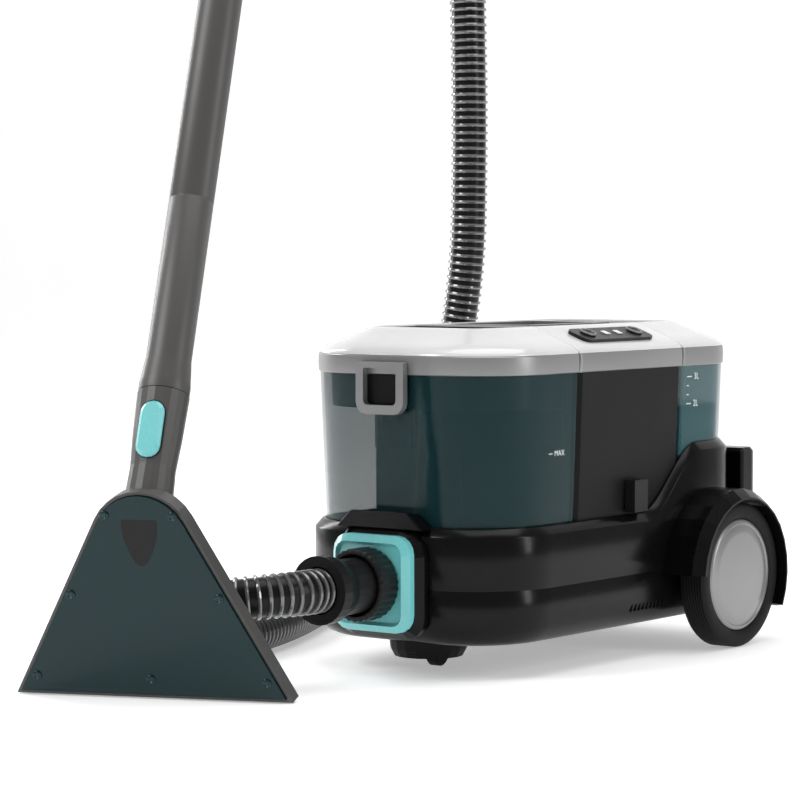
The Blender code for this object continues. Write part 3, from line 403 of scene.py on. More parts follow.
def piece(name, bm, look, body, replaced=(), slot=None, place=MACHINE, bevel=0.0, smooth=True, turn=True):
    """A finished object: normals out, in its place, riding on its body."""
    if turn:
        bmesh.ops.recalc_face_normals(bm, faces=bm.faces)
    mesh = bpy.data.meshes.new(name)
    bm.to_mesh(mesh)
    bm.free()
    mesh.transform(place)
    made = bpy.data.objects.new(name, mesh)
    bpy.context.scene.collection.objects.link(made)
    for finish_of_piece in look if isinstance(look, (list, tuple)) else [look]:
        mesh.materials.append(finish_of_piece)
    if bevel:
        step = made.modifiers.new("edges", "BEVEL")
        step.width = bevel
        step.segments = 2
        step.limit_method = "ANGLE"
        step.angle_limit = math.radians(40)
        step.harden_normals = True
    if smooth:
        mesh.shade_smooth()
        mesh.set_sharp_from_angle(angle=math.radians(38 if not bevel else 60))
    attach(made, body)
    if replaced:
        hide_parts(*replaced)
    return made


def join(*meshes):
    """Several bmeshes as one."""
    whole = bmesh.new()
    for bm in meshes:
        mesh = bpy.data.meshes.new("part")
        bmesh.ops.recalc_face_normals(bm, faces=bm.faces)
        bm.to_mesh(mesh)
        bm.free()
        whole.from_mesh(mesh)
        bpy.data.meshes.remove(mesh)
    return whole


def lettering(text, size, place, depth=0.0001):
    """Raised marks as a plain mesh, standing on the place's x-y plane."""
    data = bpy.data.curves.new("marks", "FONT")
    data.body, data.size, data.extrude = text, size, depth
    data.align_x = "CENTER"
    data.align_y = "CENTER"
    data.resolution_u = 3
    holder = bpy.data.objects.new("marks", data)
    bpy.context.scene.collection.objects.link(holder)
    bpy.context.view_layer.update()
    graph = bpy.context.evaluated_depsgraph_get()
    mesh = bpy.data.meshes.new_from_object(holder.evaluated_get(graph))
    bpy.data.objects.remove(holder, do_unlink=True)
    mesh.transform(place)
    bm = bmesh.new()
    bm.from_mesh(mesh)
    bpy.data.meshes.remove(mesh)
    return bm


def dress(look, *nodes):
    """A solid kept as it is, in its own finish."""
    for node in nodes:
        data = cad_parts[node].data
        data.materials.clear()
        data.materials.append(look)


# ---- repeated shapes ---------------------------------------------------------------------
def copies_tree():
    """Geometry nodes: one copy of a shape on each point, turned by the point's turn attribute."""
    name = "copies_on_points"
    if name in bpy.data.node_groups:
        return bpy.data.node_groups[name]
    tree = bpy.data.node_groups.new(name, "GeometryNodeTree")
    face = tree.interface
    face.new_socket("Geometry", in_out="INPUT", socket_type="NodeSocketGeometry")
    face.new_socket("Copy", in_out="INPUT", socket_type="NodeSocketObject")
    face.new_socket("Size", in_out="INPUT", socket_type="NodeSocketFloat").default_value = 1.0
    face.new_socket("Finish", in_out="INPUT", socket_type="NodeSocketMaterial")
    face.new_socket("Geometry", in_out="OUTPUT", socket_type="NodeSocketGeometry")
    start, end = tree.nodes.new("NodeGroupInput"), tree.nodes.new("NodeGroupOutput")
    shape = tree.nodes.new("GeometryNodeObjectInfo")
    turn = tree.nodes.new("GeometryNodeInputNamedAttribute")
    turn.data_type = "FLOAT_VECTOR"
    turn.inputs["Name"].default_value = "turn"
    to_turn = tree.nodes.new("FunctionNodeEulerToRotation")
    put = tree.nodes.new("GeometryNodeInstanceOnPoints")
    real = tree.nodes.new("GeometryNodeRealizeInstances")
    coat = tree.nodes.new("GeometryNodeSetMaterial")
    link(tree, start, "Geometry", put, "Points")
    link(tree, start, "Copy", shape, "Object")
    link(tree, shape, "Geometry", put, "Instance")
    link(tree, turn, "Attribute", to_turn, "Euler")
    link(tree, to_turn, "Rotation", put, "Rotation")
    link(tree, start, "Size", put, "Scale")
    link(tree, put, "Instances", real, "Geometry")
    link(tree, real, "Geometry", coat, "Geometry")
    link(tree, start, "Finish", coat, "Material")
    link(tree, coat, "Geometry", end, "Geometry")
    return tree


def grown(carrier, tree, **values):
    """Runs a geometry-nodes tree on carrier and returns the result as a bmesh."""
    step = carrier.modifiers.new("grow", "NODES")
    step.node_group = tree
    for item in tree.interface.items_tree:
        key = item.name.replace(" ", "_")
        if item.in_out == "INPUT" and key in values:
            step[item.identifier] = values[key]
    bpy.context.view_layer.update()
    graph = bpy.context.evaluated_depsgraph_get()
    mesh = bpy.data.meshes.new_from_object(carrier.evaluated_get(graph))
    bm = bmesh.new()
    bm.from_mesh(mesh)
    bpy.data.meshes.remove(mesh)
    bpy.data.objects.remove(carrier, do_unlink=True)
    if not bm.faces:
        raise RuntimeError("a repeated shape came out empty")
    return bm


def copies(shape, places, look, size=1.0):
    """Copies of the bmesh shape at each (point, euler turn)."""
    mesh = bpy.data.meshes.new("copy")
    bmesh.ops.recalc_face_normals(shape, faces=shape.faces)
    shape.to_mesh(mesh)
    shape.free()
    source = bpy.data.objects.new("copy", mesh)
    bpy.context.scene.collection.objects.link(source)
    points = bpy.data.meshes.new("points")
    points.from_pydata([tuple(p) for p, _ in places], [], [])
    turn = points.attributes.new("turn", "FLOAT_VECTOR", "POINT")
    for i, (_, t) in enumerate(places):
        turn.data[i].vector = tuple(t)
    carrier = bpy.data.objects.new("points", points)
    bpy.context.scene.collection.objects.link(carrier)
    bm = grown(carrier, copies_tree(), Copy=source, Size=size, Finish=look)
    bpy.data.objects.remove(source, do_unlink=True)
    return bm


# ---- the machine's outlines --------------------------------------------------------------
NOSE_RADIUS, TAIL_RADIUS = 0.087, 0.072
OVER = 0.004
RIM_FRONT, RIM_REAR = 0.146, 0.213
RISE_FROM, RISE_TO = 0.028, 0.132
TOP_INSET, FOOT_INSET = 0.0015, 0.009
SEAM = 0.0006


def whole(distance):
    """The body's outline with extra points along its sides, where the rim climbs."""
    hx = HALF - distance
    ring = rounded(
        (-hx, NOSE + distance), (hx, TAIL - distance), (NOSE_RADIUS - distance, TAIL_RADIUS - distance), 12
    )
    climb = [RISE_FROM + (RISE_TO - RISE_FROM) * i / 24 for i in range(25)]
    right = [(hx, y) for y in climb]
    left = [(-hx, y) for y in reversed(climb)]
    return ring[:13] + right + ring[13:39] + left + ring[39:]


def front(distance, seam=0.0):
    hx = HALF - distance
    radii = (NOSE_RADIUS - distance, 0.003)
    return rounded((-hx, NOSE + distance), (hx, SEAM_FRONT - SEAM - seam), radii, 12)


def middle(distance, seam=0.0):
    hx = HALF - distance
    return rounded((-hx, SEAM_FRONT + SEAM + seam), (hx, SEAM_REAR - SEAM - seam), (0.003, 0.003), 3)


def rear(distance, seam=0.0):
    hx = HALF - distance
    radii = (0.003, TAIL_RADIUS - distance)
    return rounded((-hx, SEAM_REAR + SEAM + seam), (hx, TAIL - distance), radii, 12)


def rim_height(y):
    t = min(max((y - RISE_FROM) / (RISE_TO - RISE_FROM), 0.0), 1.0)
    return RIM_FRONT + (RIM_REAR - RIM_FRONT) * t * t * (3 - 2 * t)


def tank_inset(z):
    return TOP_INSET + (FOOT_INSET - TOP_INSET) * (BAND_LOW - z) / (BAND_LOW - DECK)


# ---- stage and hose ----------------------------------------------------------------------
VIEW_TURN = math.radians(35.1)


class CLEANER_OT_stage(bpy.types.Operator):
    """Camera, pale floor and soft studio light"""

    bl_idname = "cleaner.stage"
    bl_label = "Stage"

    def camera(self):
        turn, rise = VIEW_TURN, math.radians(5.0)
        back = Vector((math.sin(turn) * math.cos(rise), -math.cos(turn) * math.cos(rise), math.sin(rise)))
        right = Vector((math.cos(turn), math.sin(turn), 0.0))
        up = back.cross(right)
        eye = CENTRE + Vector((0, 0, 0.150)) + back * 3.154
        look = (-back - 0.04205 * right + 0.0358 * up).normalized()
        side = (right - look * right.dot(look)).normalized()
        top = side.cross(look)
        data = bpy.data.cameras.new("camera")
        data.lens, data.sensor_width = 139.27, 36.0
        data.clip_end = 60.0
        made = bpy.data.objects.new("camera", data)
        bpy.context.scene.collection.objects.link(made)
        rows = Matrix((side, top, -look)).transposed().to_4x4()
        made.matrix_world = Matrix.Translation(eye) @ rows
        bpy.context.scene.camera = made

    def lamp(self, name, place, aim, size, power, tint=(1, 1, 1)):
        data = bpy.data.lights.new(name, "AREA")
        data.shape = "RECTANGLE"
        data.size, data.size_y = size
        data.energy, data.color = power, tint
        made = bpy.data.objects.new(name, data)
        bpy.context.scene.collection.objects.link(made)
        made.location = CENTRE + Vector(place)
        made.rotation_euler = (Vector(aim) - Vector(place)).to_track_quat("-Z", "Y").to_euler()

    def floor(self):
        sweep = [(-7.0, 0.0), (3.2, 0.0)]
        for i in range(1, 13):
            a = math.radians(90 * i / 12)
            sweep.append((3.2 + 1.5 * math.sin(a), 1.5 - 1.5 * math.cos(a)))
        sweep.append((4.7, 6.0))
        bm = bmesh.new()
        rows = []
        for d, z in sweep:
            rows.append([bm.verts.new((x, d, z)) for x in (-9.0, 9.0)])
        for a, b in zip(rows, rows[1:]):
            bm.faces.new((a[0], a[1], b[1], b[0]))
        mesh = bpy.data.meshes.new("floor")
        bm.to_mesh(mesh)
        bm.free()
        turned = MACHINE @ Matrix.Rotation(VIEW_TURN, 4, "Z")
        mesh.transform(turned @ Matrix.Translation((0, 0, -0.0005)))
        made = bpy.data.objects.new("floor", mesh)
        bpy.context.scene.collection.objects.link(made)
        glow = {"Emission_Color": (1, 1, 1, 1), "Emission_Strength": 0.36}
        pale = finish("studio_floor", (0.92, 0.92, 0.92), 0.9, 60, 0.00002, 0.03, 0.01, **glow)
        mesh.materials.append(pale)
        mesh.shade_smooth()

    def execute(self, context):
        self.camera()
        self.floor()
        self.lamp("key", (-1.6, -2.6, 2.6), (0, 0, 0.25), (1.6, 1.6), 60)
        self.lamp("top", (0.2, 0.3, 3.0), (0, 0, 0.2), (2.4, 2.4), 44)
        self.lamp("side", (3.0, 0.6, 1.3), (0, 0, 0.15), (0.5, 2.2), 26)
        self.lamp("strip", (-3.0, 0.4, 1.6), (0, 0, 0.5), (0.5, 2.4), 40)
        world = context.scene.world or bpy.data.worlds.new("world")
        context.scene.world = world
        world.use_nodes = True
        light = world.node_tree.nodes.get("Background") or world.node_tree.nodes.new("ShaderNodeBackground")
        light.inputs["Color"].default_value = (1.0, 1.0, 1.0, 1)
        light.inputs["Strength"].default_value = 0.28
        context.scene.view_settings.view_transform = "Standard"
        return {"FINISHED"}


HOSE_ROUTE = (
    (0.000, -0.3372, 0.092),
    (-0.002, -0.368, 0.092),
    (-0.024, -0.406, 0.090),
    (-0.066, -0.429, 0.084),
    (-0.113, -0.426, 0.073),
    (-0.150, -0.398, 0.058),
    (-0.172, -0.356, 0.042),
    (-0.183, -0.295, 0.028),
    (-0.196, -0.220, 0.0222),
    (-0.216, -0.145, 0.0222),
    (-0.246, -0.070, 0.0222),
    (-0.282, 0.005, 0.0222),
    (-0.316, 0.080, 0.0226),
    (-0.340, 0.150, 0.034),
    (-0.345, 0.212, 0.072),
    (-0.334, 0.255, 0.135),
    (-0.314, 0.277, 0.215),
    (-0.296, 0.284, 0.300),
    (-0.281, 0.286, 0.400),
    (-0.277, 0.286, 0.520),
    (-0.277, 0.285, 0.640),
    (-0.281, 0.285, 0.750),
    (-0.290, 0.283, 0.838),
    (-0.309, 0.269, 0.922),
    (-0.327, 0.233, 0.990),
    (-0.333, 0.176, 1.030),
    (-0.3225, 0.1095, 1.0443),
    (-0.3098, 0.0784, 1.0443),
)


def smooth_line(points, steps):
    """Points on a centripetal Catmull-Rom curve through points."""
    p = [Vector(q) for q in points]
    p = [p[0] * 2 - p[1], *p, p[-1] * 2 - p[-2]]
    line = []
    for a, b, c, d in zip(p, p[1:], p[2:], p[3:]):
        t1 = (b - a).length ** 0.5
        t2 = t1 + (c - b).length ** 0.5
        t3 = t2 + (d - c).length ** 0.5
        for i in range(steps):
            t = t1 + (t2 - t1) * i / steps
            u = a * (t1 - t) / t1 + b * t / t1
            v = b * (t2 - t) / (t2 - t1) + c * (t - t1) / (t2 - t1)
            w = c * (t3 - t) / (t3 - t2) + d * (t - t2) / (t3 - t2)
            k = u * (t2 - t) / t2 + v * t / t2
            m = v * (t3 - t) / (t3 - t1) + w * (t - t1) / (t3 - t1)
            line.append(k * (t2 - t) / (t2 - t1) + m * (t - t1) / (t2 - t1))
    return [*line, p[-2]]


def tube_along(line, radius, steps=28):
    """A round tube on a line, with rings that don't twist."""
    normal = Vector((0, 0, 1))
    rings = []
    for i, place in enumerate(line):
        ahead = line[min(i + 1, len(line) - 1)] - line[max(i - 1, 0)]
        ahead.normalize()
        normal = (normal - ahead * normal.dot(ahead)).normalized()
        side = ahead.cross(normal)
        rings.append([tuple(place + normal * x + side * y) for x, y in circle(radius, steps)])
    return stack(rings)


def ribs_tree():
    """Geometry nodes: rings of wire at an even pitch along a line."""
    name = "ribs_on_line"
    if name in bpy.data.node_groups:
        return bpy.data.node_groups[name]
    tree = bpy.data.node_groups.new(name, "GeometryNodeTree")
    face = tree.interface
    face.new_socket("Geometry", in_out="INPUT", socket_type="NodeSocketGeometry")
    for label, value in (("Pitch", 0.009), ("Ring radius", 0.02), ("Wire radius", 0.0015)):
        face.new_socket(label, in_out="INPUT", socket_type="NodeSocketFloat").default_value = value
    face.new_socket("Finish", in_out="INPUT", socket_type="NodeSocketMaterial")
    face.new_socket("Geometry", in_out="OUTPUT", socket_type="NodeSocketGeometry")
    start, end = tree.nodes.new("NodeGroupInput"), tree.nodes.new("NodeGroupOutput")
    line = tree.nodes.new("GeometryNodeMeshToCurve")
    even = tree.nodes.new("GeometryNodeResampleCurve")
    even.mode = "LENGTH"
    ring = tree.nodes.new("GeometryNodeCurvePrimitiveCircle")
    ring.inputs["Resolution"].default_value = 28
    wire = tree.nodes.new("GeometryNodeCurvePrimitiveCircle")
    wire.inputs["Resolution"].default_value = 7
    rib = tree.nodes.new("GeometryNodeCurveToMesh")
    ahead = tree.nodes.new("GeometryNodeInputTangent")
    align = tree.nodes.new("FunctionNodeAlignRotationToVector")
    align.axis = "Z"
    put = tree.nodes.new("GeometryNodeInstanceOnPoints")
    real = tree.nodes.new("GeometryNodeRealizeInstances")
    coat = tree.nodes.new("GeometryNodeSetMaterial")
    link(tree, start, "Geometry", line, "Mesh")
    link(tree, line, "Curve", even, "Curve")
    link(tree, start, "Pitch", even, "Length")
    link(tree, even, "Curve", put, "Points")
    link(tree, start, "Ring radius", ring, "Radius")
    link(tree, start, "Wire radius", wire, "Radius")
    link(tree, ring, "Curve", rib, "Curve")
    link(tree, wire, "Curve", rib, "Profile Curve")
    link(tree, rib, "Mesh", put, "Instance")
    link(tree, ahead, "Tangent", align, "Vector")
    link(tree, align, "Rotation", put, "Rotation")
    link(tree, put, "Instances", real, "Geometry")
    link(tree, real, "Geometry", coat, "Geometry")
    link(tree, start, "Finish", coat, "Material")
    link(tree, coat, "Geometry", end, "Geometry")
    return tree


class CLEANER_OT_hose(bpy.types.Operator):
    """Black hose with bright ribs, from the port's cuff over the floor and up to the grip"""

    bl_idname = "cleaner.hose"
    bl_label = "Hose"

    def execute(self, context):
        wide, wire = sizes().hose_width / 2, sizes().rib_depth * 0.8
        line = smooth_line(HOSE_ROUTE, 8)
        tube = tube_along(line, wide - sizes().rib_depth)
        core = piece("hose_core", tube, hose_black(), "machine", ["hose"], "hose")
        points = bpy.data.meshes.new("line")
        points.from_pydata([tuple(p) for p in line], [(i, i + 1) for i in range(len(line) - 1)], [])
        carrier = bpy.data.objects.new("line", points)
        context.scene.collection.objects.link(carrier)
        values = {
            "Pitch": sizes().rib_pitch,
            "Ring_radius": wide - wire,
            "Wire_radius": wire,
            "Finish": hose_rib(),
        }
        wires = grown(carrier, ribs_tree(), **values)
        ribs = piece("hose_ribs", wires, hose_rib(), "machine", slot="hose")
        return {"FINISHED"}


# ---- the base ----------------------------------------------------------------------------
SLIT_PITCH, SLIT_Z, SLIT_OUT = 0.0072, 0.052, 0.0024
TRAY_RISE = (
    (0.032, 0.0),
    (0.020, 0.002),
    (0.013, 0.005),
    (0.007, 0.011),
    (0.002, 0.019),
    (0.0004, 0.032),
)
CREASE_DEPTH = 0.0008
HUMP = ((-0.052, 0.0), (-0.034, 0.017), (0.034, 0.017), (0.052, 0.0))


def vent_slit():
    """One slanted slit, a satin black box just proud of the side, painted shade standing in for the
    opening.
    """
    ring = [(-0.0012, -0.0036), (0.0010, -0.0036), (0.0036, 0.0036), (0.0014, 0.0036)]
    return stack([along_x(ring, -0.0009), along_x(ring, 0.0009)])


def base_skin():
    """Tray, crease, climbing rim, and the well that the tanks stand in."""
    low, crease = (corner.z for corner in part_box("base_tray"))
    profile = [(d, low + rise) for d, rise in TRAY_RISE]
    profile += [(0.0, crease - 0.0012), (CREASE_DEPTH, crease)]
    profile += [(CREASE_DEPTH, crease + 0.0003), (0.0, crease + 0.0015)]
    rings = [lift(whole(d - OVER), z) for d, z in profile]
    well = tank_inset(RIM_FRONT) - 0.0005
    rim = (
        (-OVER, 0.0090),
        (-OVER + 0.0008, 0.0075),
        (OVER - 0.0012, 0.0007),
        (OVER, 0.0),
        (well, 0.0001),
    )
    for d, drop in rim:
        rings.append(lift(whole(d), lambda y, drop=drop: rim_height(y) - drop))
    rings.append(lift(whole(tank_inset(DECK) - 0.0005), DECK - 0.0006))
    return stack(rings)


class CLEANER_OT_base(bpy.types.Operator):
    """Gloss black tray and base with the climbing rim, the crease and the vent slits as satin black boxes
    of painted shade
    """

    bl_idname = "cleaner.base"
    bl_label = "Base"

    def execute(self, context):
        solids = ["base_shell", "base_tray"]
        piece("base_look", base_skin(), gloss_black(), "machine", solids, "black")
        dress(steel(), "rear_axle")
        places = []
        for i in range(sizes().vent_slits):
            for x in (HALF + SLIT_OUT, -HALF - SLIT_OUT):
                places.append(((x, SLIT_PITCH * i, SLIT_Z), (0, 0, 0)))
        # painted shade: satin black boxes on the sides stand in for the shaded vent openings
        slits = copies(vent_slit(), places, satin_black())
        piece("vent_slits", slits, satin_black(), "machine", slot="black")
        low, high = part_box("port_block")
        front_y, top = low.y - CENTRE.y, high.z - 0.001
        near = [(x, front_y + 0.004, top + z) for x, z in HUMP]
        far = [(x, front_y + 0.028, top + 0.8 * z) for x, z in HUMP]
        hump = stack([near, far])
        piece("port_hump", hump, gloss_black(), "machine", slot="black", bevel=0.0012)
        return {"FINISHED"}


# ---- tanks -------------------------------------------------------------------------------
TANK_WALL, TANK_EDGE = 0.003, 0.0015
COLLAR_HEIGHT, COLLAR_OUT, COLLAR_IN = 0.034, 0.011, 0.014
LITRE_TICKS = ((0.281, 0.009), (0.2717, 0.004), (0.2623, 0.004), (0.253, 0.009))
LITRE_NUMBERS = (("2L", 0.253), ("3L", 0.281))
MAX_Z = 0.215


def tank_shell(node, outline):
    """An open tank with a wall, tapered like its solid."""
    foot, top = (corner.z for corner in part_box(node))
    heights = [foot + (top - foot) * i / 10 for i in range(11)]
    rings = [lift(outline(tank_inset(foot) + TANK_EDGE), foot)]
    for z in heights:
        rings.append(lift(outline(tank_inset(z)), max(z, foot + TANK_EDGE)))
    for z in reversed(heights):
        ring = outline(tank_inset(z) + TANK_WALL, TANK_WALL)
        rings.append(lift(ring, max(z, foot + TANK_WALL)))
    return stack(rings)


def side_mark(text, size, y, z):
    """Letters flat on a tank's right side."""
    at = Matrix.Translation((HALF - tank_inset(z) + 0.0002, y, z))
    return lettering(text, size, at @ Euler((math.pi / 2, 0, math.pi / 2)).to_matrix().to_4x4())


def side_tick(x, y, z, wide, tall):
    return block((x - 0.0001, y, z - tall), (x + 0.0001, y + wide, z + tall))


class CLEANER_OT_tanks(bpy.types.Operator):
    """Clear tinted tanks with what shows inside them, the water and the level marks"""

    bl_idname = "cleaner.tanks"
    bl_label = "Tanks"

    def dirty_inside(self):
        low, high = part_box("dirty_tank")
        foot, top = high.z - COLLAR_HEIGHT, high.z - 0.001
        profile = ((COLLAR_OUT, foot), (COLLAR_OUT, top), (COLLAR_IN, top), (COLLAR_IN, foot))
        collar = stack([lift(front(tank_inset(z) + d, d), z) for d, z in profile], loop=True)
        piece("tank_collar", collar, satin_black(), "tank_lid", slot="black", bevel=0.001)
        foot, top = low.z + 0.006, high.z - 0.036
        wall_low = (-HALF + 0.014, SEAM_FRONT - 0.0105, foot)
        wall = block(wall_low, (HALF - 0.014, SEAM_FRONT - 0.0065, top))
        rings = []
        for half, z in ((0.024, foot), (0.014, top)):
            ring = rounded((0.020 - half, -0.190), (0.020 + half, -0.160), (0.006, 0.006), 4)
            rings.append(lift(ring, z))
        inside = join(wall, stack(rings))
        piece("tank_inside", inside, satin_black(), "dirty_tank", slot="black", bevel=0.001)
        line = [lift(front(tank_inset(z) - 0.0003), z) for z in (low.z + 0.004, low.z + 0.0052)]
        piece("tank_foot_line", stack(line), clear_teal(), "dirty_tank", slot="clear_teal")

    def marks(self):
        marks = []
        for z, wide in LITRE_TICKS:
            x = HALF - tank_inset(z) + 0.00015
            marks.append(side_tick(x, SEAM_REAR + 0.010, z, wide, 0.0005))
        for text, z in LITRE_NUMBERS:
            marks.append(side_mark(text, 0.0095, SEAM_REAR + 0.028, z))
        piece("clean_marks", join(*marks), print_white(), "clean_tank", slot="lamp")
        word = side_mark("MAX", 0.0080, SEAM_FRONT - 0.030, MAX_Z)
        x = HALF - tank_inset(MAX_Z) + 0.0002
        tick = side_tick(x, SEAM_FRONT - 0.048, MAX_Z, 0.006, 0.0004)
        piece("dirty_marks", join(word, tick), print_white(), "dirty_tank", slot="lamp")

    def execute(self, context):
        tanks = (("dirty_tank", front, clear_teal()), ("clean_tank", rear, clear_teal_light()))
        for node, outline, look in tanks:
            piece(node + "_look", tank_shell(node, outline), look, node, [node], "clear_teal")
        self.dirty_inside()
        dress(graphite(), "inlet_duct", "float_cage")
        dress(lamp_white(), "float")
        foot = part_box("clean_tank")[0].z
        rings = [lift(rear(tank_inset(z) + 0.0042, 0.0035), z) for z in (foot + 0.0035, foot + 0.055)]
        piece("clean_water", stack(rings), water(), "clean_tank", slot="clear_teal")
        self.marks()
        return {"FINISHED"}


# ---- lids and bands ----------------------------------------------------------------------
BAND_WALL, BAND_EDGE, BAND_CROWN = 0.005, 0.0008, 0.0004
RECESS_LIP = 0.0004
DOME = (
    (0.0008, 0.3113),
    (0.0012, 0.3128),
    (0.003, 0.3148),
    (0.008, 0.3185),
    (0.020, 0.3232),
    (0.032, 0.3278),
    (0.044, 0.3325),
    (0.050, 0.3355),
    (0.0545, 0.3368),
    (0.057, 0.3366),
    (0.0585, 0.3350),
    (0.060, 0.3250),
)
RECESS_FROM = 0.056


class CLEANER_OT_bands(bpy.types.Operator):
    """Satin silver band in three lengths under the lids"""

    bl_idname = "cleaner.bands"
    bl_label = "Bands"

    def execute(self, context):
        low, high = BAND_LOW, BAND_HIGH
        profile = (
            (BAND_EDGE, low),
            (0.0, low + BAND_EDGE),
            (-BAND_CROWN, (low + high) / 2),
            (0.0, high - BAND_EDGE),
            (BAND_EDGE, high),
            (BAND_WALL, high),
            (BAND_WALL, low),
        )
        bands = (
            ("front_trim", "tank_lid", front),
            ("column_trim", "machine", middle),
            ("rear_trim", "clean_tank_lid", rear),
        )
        for node, body, outline in bands:
            band = stack([lift(outline(d), z) for d, z in profile], loop=True)
            piece(node + "_look", band, satin_silver(), body, [node], "silver")
        return {"FINISHED"}


class CLEANER_OT_lids(bpy.types.Operator):
    """Three pearl white domes; the recess along their middle takes a dark finish as painted shade"""

    bl_idname = "cleaner.lids"
    bl_label = "Lids"

    def lid(self, outline):
        """A dome whose recess floor and walls have the second, dark finish, as painted shade in the recess.
        """
        bm = stack([lift(outline(d, RECESS_LIP if d > RECESS_FROM else 0.0), z) for d, z in DOME])
        bmesh.ops.recalc_face_normals(bm, faces=bm.faces)
        # painted shade: the recess floor and walls get the dark second finish where shade falls in the
        # recess
        floor, lip = DOME[-1][1], DOME[-2][1] - 0.0005
        for face in bm.faces:
            heights = [v.co.z for v in face.verts]
            flat = max(heights) < floor + 0.0001
            if abs(min(heights) - floor) < 0.0001 and (flat or max(heights) > lip):
                face.material_index = 1
        return bm

    def execute(self, context):
        lids = (
            ("tank_lid", "tank_lid", front),
            ("column_cover", "machine", middle),
            ("clean_tank_lid", "clean_tank_lid", rear),
        )
        looks = [pearl_white(), graphite()]
        for node, body, outline in lids:
            piece(node + "_look", self.lid(outline), looks, body, [node], "pearl_white")
        return {"FINISHED"}


class CLEANER_OT_column(bpy.types.Operator):
    """Matte charcoal column, the stand at the tail, and what the column hides"""

    bl_idname = "cleaner.column"
    bl_label = "Column"

    def execute(self, context):
        dress(charcoal(), "column")
        dress(satin_black(), "rear_stand", "suction_motor", "water_pump")
        dress(circuit_green(), "circuit_board")
        return {"FINISHED"}


class CLEANER_OT_handle(bpy.types.Operator):
    """Silver carry handle folded into the lids' recess"""

    bl_idname = "cleaner.handle"
    bl_label = "Handle"

    def execute(self, context):
        dress(satin_silver(), "carry_handle")
        return {"FINISHED"}


class CLEANER_OT_latch(bpy.types.Operator):
    """Silver loop latch with a dark plate behind it, and the catches on the base"""

    bl_idname = "cleaner.latch"
    bl_label = "Latch and catches"

    def execute(self, context):
        dress(satin_silver(), "lid_latch")
        low, high = (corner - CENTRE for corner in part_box("lid_latch"))
        corners = (low.x + 0.007, low.z + 0.007), (high.x - 0.007, high.z - 0.013)
        ring = rounded(*corners, (0.004, 0.002), 4)
        plate = stack([along_y(ring, y) for y in (high.y + 0.0010, high.y + 0.0022)])
        piece("latch_plate", plate, satin_black(), "dirty_tank", slot="black")
        dress(graphite(), "catch_left", "catch_right")
        return {"FINISHED"}


PANEL_TILT = math.radians(21.25)
BUTTON_RING = ((1.06, 0.0), (1.06, 0.0009), (1.0, 0.0014), (0.88, 0.0014), (0.84, 0.0))


class CLEANER_OT_controls(bpy.types.Operator):
    """Dark control panel with two round buttons and two square lamps"""

    bl_idname = "cleaner.controls"
    bl_label = "Controls"

    def execute(self, context):
        dress(graphite(), "control_panel", "power_button", "pump_button")
        rings = []
        for node in ("power_button", "pump_button"):
            low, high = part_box(node)
            at, radius = (low + high) / 2 - CENTRE, (high.y - low.y) / 2
            ring = stack([lift(circle(radius * k, 48), z) for k, z in BUTTON_RING], loop=True)
            place = Matrix.Translation((at.x, at.y, high.z - 0.0026))
            ring.transform(place @ Matrix.Rotation(PANEL_TILT, 4, "Y"))
            rings.append(ring)
        piece("button_rings", join(*rings), satin_silver(), "machine", slot="silver")
        dress(lamp_white(), "power_lamp", "pump_lamp")
        return {"FINISHED"}


# ---- wheels ------------------------------------------------------------------------------
WHEEL_STEPS, GROOVES = 96, 7
SHOULDER = ((0.0580, 0.02), (0.0700, 0.0), (0.0735, 0.05), (0.0750, 0.13))
GROOVE = ((0.0750, 0.074), (0.0738, 0.082), (0.0738, 0.098), (0.0750, 0.1057))
FACE = (
    (0.0750, 0.90),
    (0.0735, 0.96),
    (0.0700, 1.0),
    (0.0640, 0.985),
    (0.0600, 0.96),
    (0.0582, 0.90),
)
DISC = (
    (0.0, 0.0),
    (0.0, 0.55),
    (0.0016, 0.9),
    (0.0040, 1.0),
    (0.0052, 0.80),
    (0.0062, 0.80),
    (0.0074, 0.95),
)


def on_axle(node, sign, profile):
    """Rings round the wheel's axle; profile is (radius, share of the node's width outwards)."""
    low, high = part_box(node)
    inner, outer = (low.x, high.x) if sign > 0 else (high.x, low.x)
    inner, outer = inner - CENTRE.x, outer - CENTRE.x
    centre = (WHEEL_Y, WHEEL_R)
    wide = outer - inner
    return [along_x(circle(r, WHEEL_STEPS, centre), inner + wide * share) for r, share in profile]


def tyre_profile():
    profile = list(SHOULDER)
    start, width = 0.13, 0.74
    for i in range(GROOVES):
        at = start + width * i / GROOVES
        profile += [(r, at + share) for r, share in GROOVE]
    return [*profile, *FACE]


def disc_profile(node):
    """A rim with a groove inside it, then a low dome."""
    low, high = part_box(node)
    radius, dome = (high.z - low.z) / 2, DISC[-1][0]
    profile = [(radius - d, share) for d, share in DISC]
    for i in range(1, 7):
        a = i / 6
        profile.append(((radius - dome) * (1 - a) + 0.0005, 0.95 + 0.25 * (1 - (1 - a) ** 2)))
    return profile


class CLEANER_OT_wheels(bpy.types.Operator):
    """Black grooved tyres round satin discs"""

    bl_idname = "cleaner.wheels"
    bl_label = "Wheels"

    def execute(self, context):
        for side, sign in (("left", -1), ("right", 1)):
            body, node, cap = "wheel_" + side, "tyre_" + side, "wheel_cap_" + side
            tyre = stack(on_axle(node, sign, tyre_profile()), loop=True)
            piece("tyre_look_" + side, tyre, rubber(), body, [node], "tyre")
            disc = stack(on_axle(cap, sign, disc_profile(cap)))
            piece("wheel_disc_" + side, disc, satin_silver(), body, [cap], "silver")
        dress(graphite(), "hub_left", "hub_right")
        return {"FINISHED"}


class CLEANER_OT_fenders(bpy.types.Operator):
    """Gloss black arches over the wheels"""

    bl_idname = "cleaner.fenders"
    bl_label = "Fenders"

    def execute(self, context):
        dress(gloss_black(), "fender_left", "fender_right")
        return {"FINISHED"}


